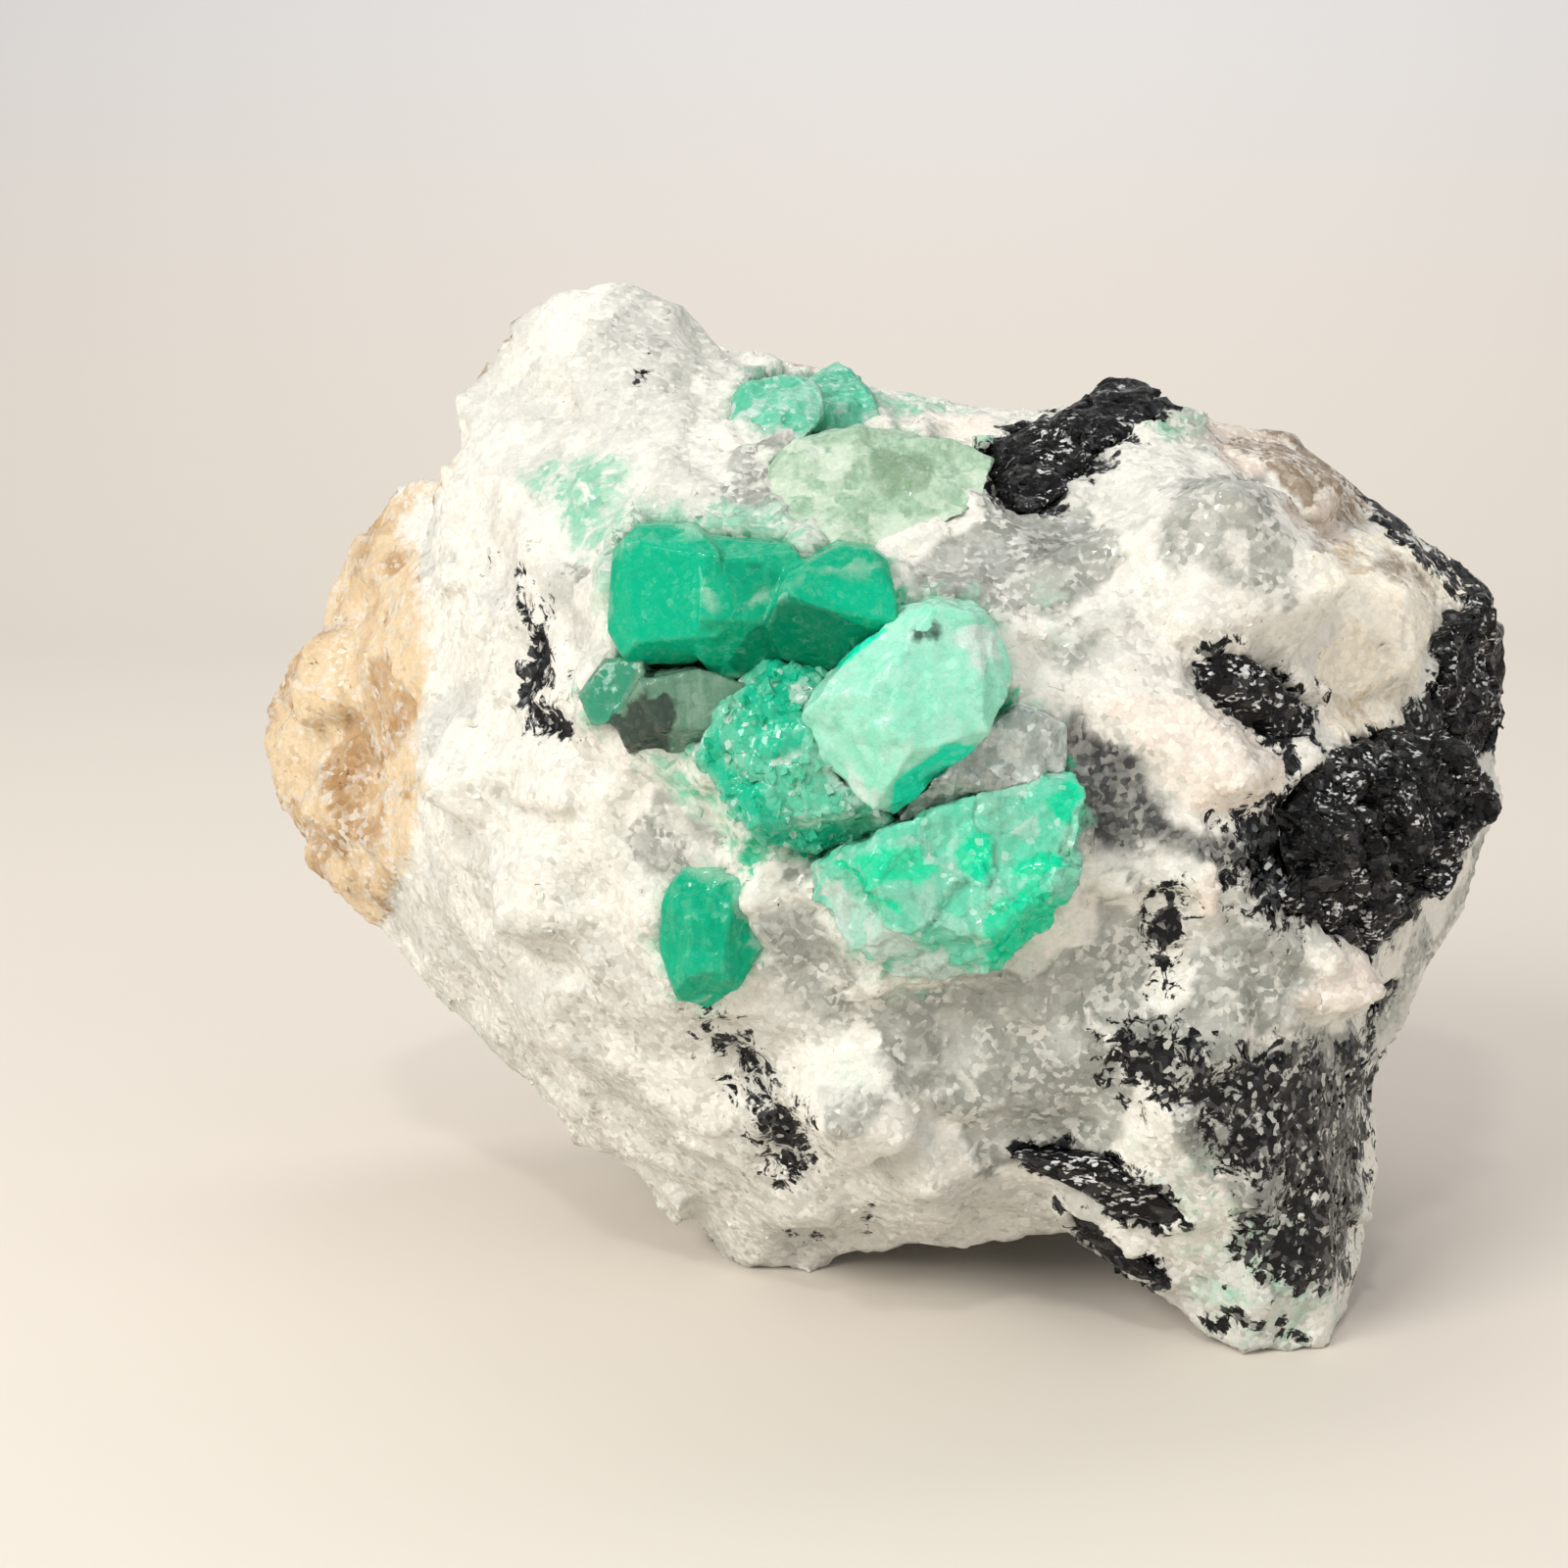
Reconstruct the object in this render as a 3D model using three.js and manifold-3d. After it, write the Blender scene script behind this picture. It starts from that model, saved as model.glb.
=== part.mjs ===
// Emerald in matrix: green beryl crystals grown in a broken lump of quartz, feldspar and black mica.
// Millimetres, +Z up, the crystal face looking along -Y. The lump rests on broken facets at z = 0.
import * as THREE from 'three';
import { ConvexGeometry } from 'three/addons/geometries/ConvexGeometry.js';
import { ConvexHull } from 'three/addons/math/ConvexHull.js';
import { TessellateModifier } from 'three/addons/modifiers/TessellateModifier.js';
import { mergeVertices } from 'three/addons/utils/BufferGeometryUtils.js';
import Module from 'manifold-3d';

const wasm = await Module();
wasm.setup();

// Driving dimensions.
const heart = new THREE.Vector3(5, 6, 25); // every corner of the lump is in sight of this point
const facetEdge = 5.2; // longest edge of a chip of the broken surface
const splitRounds = 8;
const fracture = { cell: 7, tilt: 0.13, step: 0.28, seed: 3 };
const ledges = {
  share: 0.34, // of the wider faces of the lump
  leastArea: 12,
  sides: 5,
  width: [0.45, 0.75], // as a share of the face's own width
  widest: 3.4,
  thickness: [2, 3],
  proud: [0, 0.45],
  cornerShift: [0, 0.7], // of a corner round the flake, as a share of one side
  tilt: 15,
  seed: 5,
};
const lumpUnevenness = [0.86, 1.14]; // shortest and longest corner of a lump, as a share of its half sizes
const flakeUnevenness = [0.75, 1.25];
const seam = 0.3; // clear space between a crystal and what it grew in
const mergeDistance = 0.0005;
const leastVolume = 1e-6; // three planes with less than this between their normals meet in no one point
const onPlane = 1e-5; // how far outside a plane a corner may be and still lie on it
const matrixLook = { color: 0xe9e6df, roughness: 0.6 };
const restHeight = 0;
const reach = 200; // larger than the whole lump
const socketFront = -60; // a socket is open towards the viewer as far as this

// Corners of the broken lump, [x, y, z], grouped by the part of the lump that they belong to.
const corners = {
  whitePeak: [
    [-14.4, 4, 51.2], [-11.8, 4, 52.1], [-8.3, 5, 52.5], [-5.7, 6, 51.2], [-2.9, 8, 49.7],
    [-10, 1, 49.9], [-16.3, 5, 48.6], [-17.6, 5, 47.1], [-16.8, 6, 45], [-10, 14, 49.5],
  ],
  crownRidge: [
    [-1.1, 14, 49.3], [2.3, 15, 49.2], [5, 12, 46.4], [8.4, 18, 46.1], [12.4, 14, 45.5], [15.5, 8, 45.8],
    [19.3, 5, 46.7], [23.4, 6, 46.6], [27.6, 7, 45.2], [32, 8, 41.8], [35.1, 8, 39.2], [39, 8, 36],
  ],
  rightEdge: [
    [41.8, 14, 32.9], [40.3, 9, 30.1], [39.2, 6, 27.6], [39.5, 4, 25.3], [39, 4, 23.2], [36.4, 2, 19.3],
    [33.6, 0, 17], [32, -2, 13.8], [31.6, -2, 10.9], [31.2, -3, 7], [30, -5, 2.9],
  ],
  foot: [
    [28.5, -7, -0.8], [26.8, -9.8, -0.8], [22.6, -10.6, -0.6], [19.6, -9, 2.3], [17.6, -7, 3.5],
    [27, -10.4, 2.4], [23.5, -13, 7], [18.7, -13, 8.4], [26, -3.5, -0.8],
  ],
  lowerLip: [
    [14.9, -5, 4.4], [10.2, -4, 3.6], [5.2, -2, 1.7], [0, 1, -0.6], [-2.3, 1.5, -0.5], [-4.4, 2, 1.7],
  ],
  lowerLeftEdge: [
    [-7.6, 3, 3.8], [-10.9, 4, 6.2], [-14.2, 5, 8.8], [-17.8, 7, 11.8], [-20.4, 8, 14.7],
    [-24, 10, 16.8], [-26, 11, 18.8], [-28.7, 13, 21.7],
  ],
  stainedShoulder: [
    [-30.8, 15, 27], [-28.8, 15, 31.2], [-26.2, 14, 34.4], [-24.5, 14, 38], [-22.1, 13, 41.6],
    [-19.1, 10, 42.5], [-24.8, 9, 29.8], [-21.5, 5, 23.3],
  ],
  whiteFace: [
    [-8.8, -3, 45.9], [-12.4, -7, 39.3], [-8.6, -11.6, 37.4], [-9, -12, 32], [-14.7, -5, 29.5],
    [-17.8, 0, 34.5],
    [-9.3, -11, 26.2], [-15.9, -4, 22.4], [-7, -11, 19], [-11.9, -6, 14.7], [-3.9, -8, 10.7],
    [-8.3, -2, 7.7],
  ],
  crystalFace: [
    [-1.9, -9, 41.3], [4.8, -5, 43.1], [0, 4, 46.3], [-2.7, -13, 37], [4.4, -14, 37.1], [6.1, -16, 32.1],
    [8.9, -15.5, 24.8], [-3.2, -13, 21.4], [2.2, -14, 25.5], [0, -14.5, 30.9], [11.5, -15, 24.8],
  ],
  greyFace: [
    [1.4, -12, 16.9], [4.6, -12, 13.3], [9.2, -13, 16.9], [1, -6, 5.9], [7.9, -8, 6.6], [12.8, -8, 6.6],
    [14.9, -13, 13.3], [16, -14, 19.8],
  ],
  domeFace: [
    [13.4, -14, 33.5], [9, -12, 37.8], [13.2, -7, 41.2], [18.2, -11, 39.6], [22.6, -10, 37.7],
    [18.7, -2, 44.5],
  ],
  darkFlank: [
    [18.8, -14, 30.8], [24.8, -9, 34.8], [29.6, -3, 36.2], [25.5, -11, 28.5], [31.1, -4, 29.4],
    [28.5, -9, 23.4], [33.8, -2, 25.5], [20.4, -14, 24.4], [23, -13, 19.5], [28.1, -8, 17.2],
    [20.7, -14, 13.6], [25.6, -11, 11.7],
  ],
  upperBack: [
    [-3, 20, 45], [6, 24, 42], [16, 20, 42.3], [26, 16, 41.2], [33, 18, 37], [38, 19, 32],
    [-18, 20, 41], [-8, 26, 40], [4, 28, 37], [15, 26, 37], [26, 24, 34], [34, 22, 29],
  ],
  middleBack: [
    [-27, 22, 29], [-20, 25, 30], [-9, 28, 28], [4, 30, 27], [17, 29, 26], [28, 26, 24], [36, 17, 22],
    [40, 15, 28],
  ],
  lowerBack: [
    [-25, 19, 20], [-18, 22, 17], [-8, 26, 14], [4, 28, 12], [15, 27, 13], [25, 23, 13], [32, 14, 13],
    [-17, 16, 10], [-10, 19, 6],
  ],
  underside: [
    [-4, 21, -0.6], [3, 25, -0.8], [11, 25, -0.8], [6, 20, -0.8], [20, 21, 3], [27, 13, 5], [-8, 9, 4],
    [1, 7, -0.8], [-4, 6, -0.4], [6, 13, 3.5], [13, 8, 5.5], [14, 0, 6.5], [20, 4, 5.5], [27, 3, 4.5],
    [24, -5.5, -0.8],
  ],
};

// Lumps and blocks that stand proud of the fracture: centre, half sizes, turn about X, Y and Z in degrees.
const lumps = [
  { name: 'grey dome', at: [20.2, -7, 37.6], half: [7.4, 6.2, 6.4], turn: [10, -15, 20] },
  { name: 'white ledge', at: [-13, -3.2, 28], half: [5.2, 4.6, 4.4], turn: [0, 20, 30] },
  { name: 'white shelf', at: [-11, -7.2, 22], half: [4.8, 4, 3.8], turn: [15, 0, -20] },
  { name: 'lower block', at: [3.6, -11, 13.6], half: [3.7, 3.6, 3.3], turn: [20, 10, 15] },
  { name: 'lower slab', at: [7.2, -9.2, 9.8], half: [3.4, 3.4, 2.2], turn: [-20, 25, 10] },
  { name: 'feldspar block', at: [18.3, -12.2, 30.2], half: [5, 3.4, 3], turn: [0, 25, 0] },
  { name: 'cream lump', at: [25.6, -9.4, 18.6], half: [2.6, 2.6, 2.2], turn: [0, 10, 40] },
  { name: 'small cream lump', at: [19.2, -13, 24.2], half: [1.5, 1.6, 2.1], turn: [0, 0, 20] },
  { name: 'stained lump', at: [-24.6, 11, 31], half: [3.4, 3.4, 3.6], turn: [10, 0, 35] },
  { name: 'lower stained lump', at: [-23.8, 9.5, 24], half: [3.6, 3.4, 3.4], turn: [0, 20, 0] },
  { name: 'cream corner', at: [28.6, -2.8, 34.6], half: [4, 3.4, 4.2], turn: [0, 30, 20] },
  { name: 'brown slab', at: [25.6, 2.6, 42.6], half: [4.6, 3.4, 2.2], turn: [20, 18, 0] },
  { name: 'back bulge', at: [10, 24, 30], half: [8, 5.5, 6.5], turn: [0, 25, 10] },
  { name: 'back knee', at: [-12, 21, 20], half: [6.5, 5.5, 5], turn: [10, 0, 30] },
  { name: 'back block', at: [25, 20, 20], half: [6, 4.6, 5], turn: [0, 15, -25] },
];

// Crystals and mica, frontmost first. Each block is an outline [x, z] seen along +Y, the depth of its
// buried end, and its broken or grown faces as a point and the way that the face looks.
const crystals = {
  emerald_main: {
    color: 0x08a877, roughness: 0.15,
    blocks: [
      {
        outline: [
          [-6.4, 40.4], [-4, 40.4], [-2.8, 39.4], [-2.8, 36], [-4, 34.7], [-6.8, 34.6], [-7.8, 36],
          [-7.5, 39.4],
        ],
        back: -6,
        faces: [
          [-5, -14.2, 37.5, -0.14, -0.98, 0.12], [-5.2, -13.4, 39.9, 0, -0.62, 0.78],
          [-7.2, -13.2, 37.5, -0.8, -0.6, 0], [-5.4, -13.6, 35.2, 0, -0.6, -0.8],
        ],
      },
      {
        outline: [
          [-3.6, 39.9], [0.2, 39.6], [1.2, 38.4], [0.8, 35.6], [-0.6, 34.4], [-2.8, 33.9], [-3.8, 35],
        ],
        back: -7,
        faces: [
          [-1.5, -14.4, 37.8, 0.12, -0.92, 0.36], [-1.4, -14.8, 36.6, 0.06, -0.8, -0.6],
          [-1.2, -13.4, 39.4, 0, -0.5, 0.86],
        ],
      },
      {
        outline: [
          [0.1, 38.6], [2.3, 39.7], [3.7, 39.5], [4.4, 39], [4.8, 36.3], [2.7, 34.3], [-0.1, 34.9],
          [-0.9, 36.4],
        ],
        back: -8,
        faces: [
          [2.3, -16.4, 37.1, 0.1, -0.86, 0.5], [2.3, -16.4, 37.1, -0.12, -0.72, -0.68],
          [4.3, -14.8, 38.8, 0.66, -0.5, 0.56],
        ],
      },
    ],
  },
  emerald_pale: {
    color: 0x8fdcc0, roughness: 0.3,
    blocks: [
      {
        outline: [
          [0.9, 32.4], [2.8, 34.8], [4.7, 36.4], [6.4, 37.1], [8.6, 36.9], [9.4, 35.5], [9.8, 33.9],
          [8.2, 31.3],
          [4.9, 28.1], [3.2, 29.2], [1.3, 31],
        ],
        back: -9,
        faces: [
          [6, -18.2, 33, 0.12, -0.96, 0.24], [6.6, -18, 31, 0.36, -0.66, -0.66],
          [2.4, -17, 32, -0.52, -0.82, -0.24],
          [3.6, -17, 35, -0.42, -0.7, 0.58], [8.8, -17, 35, 0.62, -0.74, 0.24],
        ],
      },
    ],
  },
  emerald_fan: {
    color: 0x35b88c, roughness: 0.25,
    blocks: [
      {
        outline: [
          [1.7, 25.4], [4.8, 27.2], [11.6, 29.7], [12.9, 29.4], [13.1, 28.2], [12.8, 25], [12.1, 23.3],
          [9.6, 21.3],
          [7.4, 20.5], [5.3, 20.6], [3.4, 22], [1.8, 24],
        ],
        back: -9.5,
        faces: [
          [8, -17.4, 25, 0.02, -0.98, 0.2], [11, -16.8, 23.4, 0.44, -0.74, -0.5],
          [6.6, -16.2, 21.6, -0.1, -0.72, -0.68],
          [3, -16.2, 24.6, -0.58, -0.8, -0.14], [11.4, -16.6, 28.6, 0.16, -0.82, 0.54],
        ],
      },
    ],
  },
  smoky_beryl: {
    color: 0x7d8f83, roughness: 0.2,
    blocks: [
      {
        outline: [
          [-7.5, 32], [-6.3, 33.4], [-4.2, 33.7], [-2.4, 33.2], [-3.2, 31.6], [-5.2, 30.9], [-6.9, 30.8],
        ],
        back: -8,
        faces: [
          [-4.6, -13.9, 32.4, 0.12, -0.98, 0.14], [-6.6, -13.4, 31.8, -0.5, -0.82, -0.26],
          [-4.6, -13.3, 31.4, 0, -0.6, -0.8],
        ],
      },
      {
        outline: [[-8.9, 32.7], [-7.9, 34], [-6.2, 34], [-6, 32], [-8.3, 31.7]],
        back: -7,
        faces: [[-7.6, -12.6, 32.9, -0.36, -0.9, 0.24]],
      },
    ],
  },
  emerald_core: {
    color: 0x3fc296, roughness: 0.35,
    blocks: [
      {
        outline: [
          [-0.6, 34.2], [2, 33.8], [3.8, 31], [4.9, 28.4], [4.6, 27], [1.9, 26.3], [-0.3, 26.5],
          [-1.8, 27.5], [-3.6, 30.6],
          [-3.2, 31.9], [-1.9, 33.4],
        ],
        back: -9,
        faces: [
          [0, -15.9, 30, -0.06, -0.98, 0.16], [-2.4, -15.2, 30, -0.62, -0.78, 0],
          [-0.2, -15.3, 33, -0.1, -0.74, 0.66],
          [1.4, -15.3, 27.2, 0.1, -0.74, -0.66],
        ],
      },
    ],
  },
  clear_quartz: {
    color: 0xc9cdc8, roughness: 0.15,
    blocks: [
      {
        outline: [[5.4, 28], [7.2, 30.4], [10.5, 32.5], [12.4, 31.4], [12.2, 29.8], [9, 28.4]],
        back: -11,
        faces: [
          [9.4, -16.6, 30.4, 0.2, -0.94, 0.28], [11.8, -15.6, 31, 0.7, -0.7, 0.14],
          [8.4, -16.2, 28.9, 0.1, -0.7, -0.7],
        ],
      },
    ],
  },
  emerald_drop: {
    color: 0x0b9c6a, roughness: 0.2,
    blocks: [
      {
        outline: [
          [-4, 24.8], [-2.5, 24.8], [-1.1, 22.8], [-1.2, 21.2], [-2.4, 19.4], [-3.4, 18.4], [-4.8, 18.8],
          [-5.6, 21],
          [-5.4, 22.9], [-4.8, 24.1],
        ],
        back: -8,
        faces: [
          [-3.6, -14, 21.6, -0.16, -0.98, 0.1], [-5, -13.3, 21.6, -0.76, -0.64, 0],
          [-1.9, -13.4, 22, 0.64, -0.76, 0],
          [-3.4, -13.4, 23.8, 0, -0.74, 0.66], [-3.6, -13.4, 19.6, 0, -0.74, -0.66],
        ],
      },
    ],
  },
  emerald_crown: {
    color: 0x2fb488, roughness: 0.25,
    blocks: [
      {
        outline: [
          [-2.8, 46.2], [-1.5, 47.4], [0, 47.7], [1.7, 47.3], [1.9, 45.8], [0.8, 44.6], [-1.8, 44.6],
        ],
        back: 9,
        faces: [
          [-0.4, -0.9, 46.2, 0.06, -0.6, 0.8], [-1.6, -1, 46, -0.6, -0.5, 0.62], [0, -2, 45, 0, -0.9, 0.44],
        ],
      },
      {
        outline: [[1.2, 47.3], [2.7, 48.3], [4, 47.4], [4.8, 45.8], [3.7, 44.9], [1.6, 45.2]],
        back: 12,
        faces: [
          [3, 3.4, 46.8, 0.16, -0.52, 0.84], [2.2, 2.6, 46.4, -0.5, -0.7, 0.5],
          [3.8, 2.6, 45.6, 0.4, -0.84, 0.36],
        ],
      },
    ],
  },
  beryl_band: {
    color: 0xc9ecd6, roughness: 0.5,
    blocks: [
      {
        outline: [
          [-0.6, 43], [0.8, 44.3], [3.8, 44.8], [7.7, 44.2], [10, 43.5], [9.2, 41.9], [6.3, 40.3],
          [2.9, 39.9], [0.5, 40.4],
          [-0.6, 41.6],
        ],
        back: 4,
        faces: [
          [4.6, -7, 42.6, 0, -0.68, 0.73], [1.4, -7.6, 42.4, -0.3, -0.66, 0.68],
          [5, -9.3, 40.8, 0, -0.88, 0.46],
        ],
      },
    ],
  },
  mica_crest: {
    color: 0x17191a, roughness: 0.4,
    blocks: [
      {
        outline: [
          [9.9, 42.4], [10.6, 43.9], [12.7, 44.8], [15, 44.6], [14.9, 42.8], [12.7, 41], [11, 40.8],
        ],
        back: 4,
        faces: [
          [12, -5, 42.8, 0.16, -0.72, 0.68], [10.8, -5, 42.4, -0.6, -0.6, 0.52],
          [12.8, -5.8, 41.6, 0.2, -0.92, 0.34],
        ],
      },
      {
        outline: [[13, 44.2], [15.4, 46], [17.7, 47.2], [19.7, 47.2], [19.2, 45.8], [15, 43.2]],
        back: 8,
        faces: [[16.2, 0.4, 45.2, 0, -0.62, 0.78], [17.6, 1.6, 46.2, 0.1, -0.4, 0.92]],
      },
    ],
  },
  mica_lens: {
    color: 0x141516, roughness: 0.5,
    blocks: [
      {
        outline: [
          [19.4, 34.7], [21, 34.9], [23.2, 33.8], [25.4, 32.1], [24.9, 30.8], [22.8, 31], [21.1, 32],
          [20, 33.4],
        ],
        back: -5,
        faces: [
          [22, -12.4, 33.2, 0.34, -0.9, 0.26], [24, -11.2, 31.8, 0.56, -0.82, 0],
          [21.6, -12.2, 32.4, 0, -0.8, -0.6],
        ],
      },
    ],
  },
  mica_flank: {
    color: 0x151617, roughness: 0.45,
    blocks: [
      {
        outline: [
          [22.9, 27.4], [24.5, 28.9], [27, 29.8], [30.8, 29.7], [34, 28.8], [36.4, 26.6], [33.5, 23.4],
          [29.6, 20.8],
          [27.5, 20.3], [25, 21.6], [23.4, 24],
        ],
        back: 3,
        faces: [
          [25.4, -12.2, 26, 0.26, -0.96, 0.06], [29, -9.8, 25.6, 0.62, -0.78, 0.1],
          [27.6, -10.4, 22, 0.3, -0.84, -0.46],
          [28, -9.2, 28.8, 0.4, -0.74, 0.54],
        ],
      },
      {
        outline: [
          [33.4, 31.4], [35.4, 34.6], [37.4, 35.8], [39, 33.4], [39.4, 30.4], [38.2, 28], [35.4, 27.2],
          [33.6, 28.6],
        ],
        back: 8,
        faces: [[36.6, 3.2, 31.4, 0.78, -0.62, 0.04], [34.4, 0.2, 31, 0.3, -0.95, 0]],
      },
    ],
  },
  mica_blade_upper: {
    color: 0x141516, roughness: 0.5,
    blocks: [
      {
        outline: [
          [11.2, 10.5], [13, 10.6], [15.6, 10.2], [17.5, 9.4], [19.3, 7.6], [18, 7.2], [16.1, 7.9],
          [13.4, 9.3],
        ],
        back: -6,
        faces: [[15.4, -12.2, 9.2, -0.2, -0.94, -0.3], [17.8, -13.3, 8, -0.1, -0.98, 0.1]],
      },
    ],
  },
  mica_blade_lower: {
    color: 0x141516, roughness: 0.5,
    blocks: [
      {
        outline: [[14.2, 7.2], [15.2, 6.8], [17, 5.2], [18.9, 3.7], [17.7, 3.4], [16.2, 4.2], [14.9, 5.6]],
        back: -3,
        faces: [[16.2, -10, 5.2, -0.5, -0.8, -0.3], [18, -10.6, 4, -0.2, -0.96, 0]],
      },
    ],
  },
};

// A copy of the geometry with positions alone.
function bareGeometry(geometry) {
  return geometry.clone().deleteAttribute('normal').deleteAttribute('uv');
}

// A repeatable value from 0 to 1 for whole numbers i, j, k.
function chance(i, j, k, seed) {
  const wave = Math.sin(i * 127.1 + j * 311.7 + k * 74.7 + seed * 53.3) * 43758.5453;
  return wave - Math.floor(wave);
}

// Closed triangle skin through points that all see the heart of the lump.
function skinThrough(points) {
  const rays = points.map((point) => point.clone().sub(heart).normalize());
  const cornerOf = new Map(rays.map((ray, i) => [ray, points[i]]));
  const hull = new ConvexHull().setFromPoints(rays);
  const skin = [];
  for (const face of hull.faces) {
    let edge = face.edge;
    do {
      skin.push(cornerOf.get(edge.head().point));
      edge = edge.next;
    } while (edge !== face.edge);
  }
  return new THREE.BufferGeometry().setFromPoints(skin);
}

// Height of the fracture at a point: each cell is one flat chip with a slope and a step of its own.
function chipHeight(point, { cell, tilt, step, seed }) {
  const home = point.clone().divideScalar(cell).floor();
  const centre = new THREE.Vector3();
  const slope = new THREE.Vector3();
  let nearest = Infinity;
  let height = 0;
  for (let i = home.x - 1; i <= home.x + 1; i++) {
    for (let j = home.y - 1; j <= home.y + 1; j++) {
      for (let k = home.z - 1; k <= home.z + 1; k++) {
        centre.set(i + chance(i, j, k, seed), j + chance(i, j, k, seed + 1), k + chance(i, j, k, seed + 2));
        centre.multiplyScalar(cell);
        const distance = centre.distanceTo(point);
        if (distance < nearest) {
          nearest = distance;
          slope.set(chance(j, k, i, seed), chance(j, k, i, seed + 1), chance(j, k, i, seed + 2));
          slope.subScalar(0.5).multiplyScalar(2 * tilt);
          height = slope.dot(point.clone().sub(centre)) + step * (2 * chance(k, i, j, seed) - 1);
        }
      }
    }
  }
  return height;
}

// The skin split into small facets, each corner moved in or out by the chip that it lies on.
function brokenSurface(skin) {
  const fine = new TessellateModifier(facetEdge, splitRounds).modify(skin);
  const surface = mergeVertices(fine, mergeDistance);
  surface.computeVertexNormals();
  const { position, normal } = surface.attributes;
  const point = new THREE.Vector3();
  const outward = new THREE.Vector3();
  for (let i = 0; i < position.count; i++) {
    point.fromBufferAttribute(position, i);
    outward.fromBufferAttribute(normal, i);
    point.addScaledVector(outward, chipHeight(point, fracture));
    position.setXYZ(i, point.x, point.y, point.z);
  }
  return surface;
}

// A twenty-sided lump with uneven corners.
function lumpGeometry({ at, half, turn }, seed) {
  const [turnX, turnY, turnZ] = turn.map((angle) => THREE.MathUtils.degToRad(angle));
  const ball = mergeVertices(bareGeometry(new THREE.IcosahedronGeometry(1, 0)));
  const { position } = ball.attributes;
  const points = [];
  for (let i = 0; i < position.count; i++) {
    const stretch = THREE.MathUtils.lerp(...lumpUnevenness, chance(i, seed, 2, seed));
    points.push(new THREE.Vector3().fromBufferAttribute(position, i).multiplyScalar(stretch));
  }
  const lump = new ConvexGeometry(points).scale(...half);
  return lump.rotateX(turnX).rotateY(turnY).rotateZ(turnZ).translate(...at);
}

// A flat flake left standing on one face of the skin, tilted so that one edge of it makes a ledge.
function flakeGeometry(triangle, seed) {
  const { sides, width, widest, thickness, proud, cornerShift, tilt } = ledges;
  const pick = ([low, high], k) => low + (high - low) * chance(seed, k, 1, seed);
  const reachOut = Math.min(widest, Math.sqrt(triangle.getArea()) * pick(width, 1));
  const halfThick = pick(thickness, 2) / 2;
  const points = [];
  for (let k = 0; k < sides; k++) {
    const angle = ((k + pick(cornerShift, 10 + k)) * 2 * Math.PI) / sides;
    const radius = reachOut * pick(flakeUnevenness, 20 + k);
    for (const z of [-halfThick, halfThick]) {
      points.push(new THREE.Vector3(radius * Math.cos(angle), radius * Math.sin(angle), z));
    }
  }
  const outward = triangle.getNormal(new THREE.Vector3());
  const upright = new THREE.Quaternion().setFromUnitVectors(new THREE.Vector3(0, 0, 1), outward);
  const [tiltX, tiltY] = [pick([-tilt, tilt], 4), pick([-tilt, tilt], 5)].map(THREE.MathUtils.degToRad);
  const centre = triangle.getMidpoint(new THREE.Vector3());
  centre.addScaledVector(outward, pick(proud, 6) - halfThick);
  const flake = new ConvexGeometry(points).rotateX(tiltX).rotateY(tiltY);
  return flake.applyQuaternion(upright).translate(...centre.toArray());
}

// Flakes on a share of the skin's wider faces. Their widths are shares of the face's own.
function flakesOn(skin) {
  const { position } = skin.attributes;
  const flakes = [];
  for (let face = 0; face < position.count; face += 3) {
    const [a, b, c] = [0, 1, 2].map((k) => new THREE.Vector3().fromBufferAttribute(position, face + k));
    const triangle = new THREE.Triangle(a, b, c);
    if (triangle.getArea() < ledges.leastArea) continue;
    if (chance(face, 1, 2, ledges.seed) < ledges.share) flakes.push(flakeGeometry(triangle, face));
  }
  return flakes;
}

function planeOf(point, outward, grow) {
  const plane = new THREE.Plane().setFromNormalAndCoplanarPoint(outward.clone().normalize(), point);
  plane.constant -= grow;
  return plane;
}

// Flat-faced solid: every corner where three of its planes meet inside all the others.
function polyhedron(planes) {
  const points = [];
  const across = new THREE.Vector3();
  for (let i = 0; i < planes.length; i++) {
    for (let j = i + 1; j < planes.length; j++) {
      for (let k = j + 1; k < planes.length; k++) {
        const [a, b, c] = [planes[i], planes[j], planes[k]];
        const volume = a.normal.dot(across.crossVectors(b.normal, c.normal));
        if (Math.abs(volume) < leastVolume) continue;
        const corner = new THREE.Vector3().crossVectors(b.normal, c.normal).multiplyScalar(-a.constant);
        corner.add(new THREE.Vector3().crossVectors(c.normal, a.normal).multiplyScalar(-b.constant));
        corner.add(new THREE.Vector3().crossVectors(a.normal, b.normal).multiplyScalar(-c.constant));
        corner.divideScalar(volume);
        if (planes.every((plane) => plane.distanceToPoint(corner) < onPlane)) points.push(corner);
      }
    }
  }
  return new ConvexGeometry(points);
}

// One crystal block, grown outwards by the given amount. A socket has no front faces and is open there.
function blockGeometry({ outline, back, faces }, grow, isSocket) {
  const sides = outline.map(([x, z], i) => {
    const [nextX, nextZ] = outline[(i + 1) % outline.length];
    return planeOf(new THREE.Vector3(x, 0, z), new THREE.Vector3(z - nextZ, 0, nextX - x), grow);
  });
  const buried = planeOf(new THREE.Vector3(0, back, 0), new THREE.Vector3(0, 1, 0), grow);
  const open = planeOf(new THREE.Vector3(0, socketFront, 0), new THREE.Vector3(0, -1, 0), 0);
  const grown = faces.map(([x, y, z, nx, ny, nz]) => {
    return planeOf(new THREE.Vector3(x, y, z), new THREE.Vector3(nx, ny, nz), grow);
  });
  return polyhedron([...sides, buried, ...(isSocket ? [open] : grown)]);
}

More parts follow.
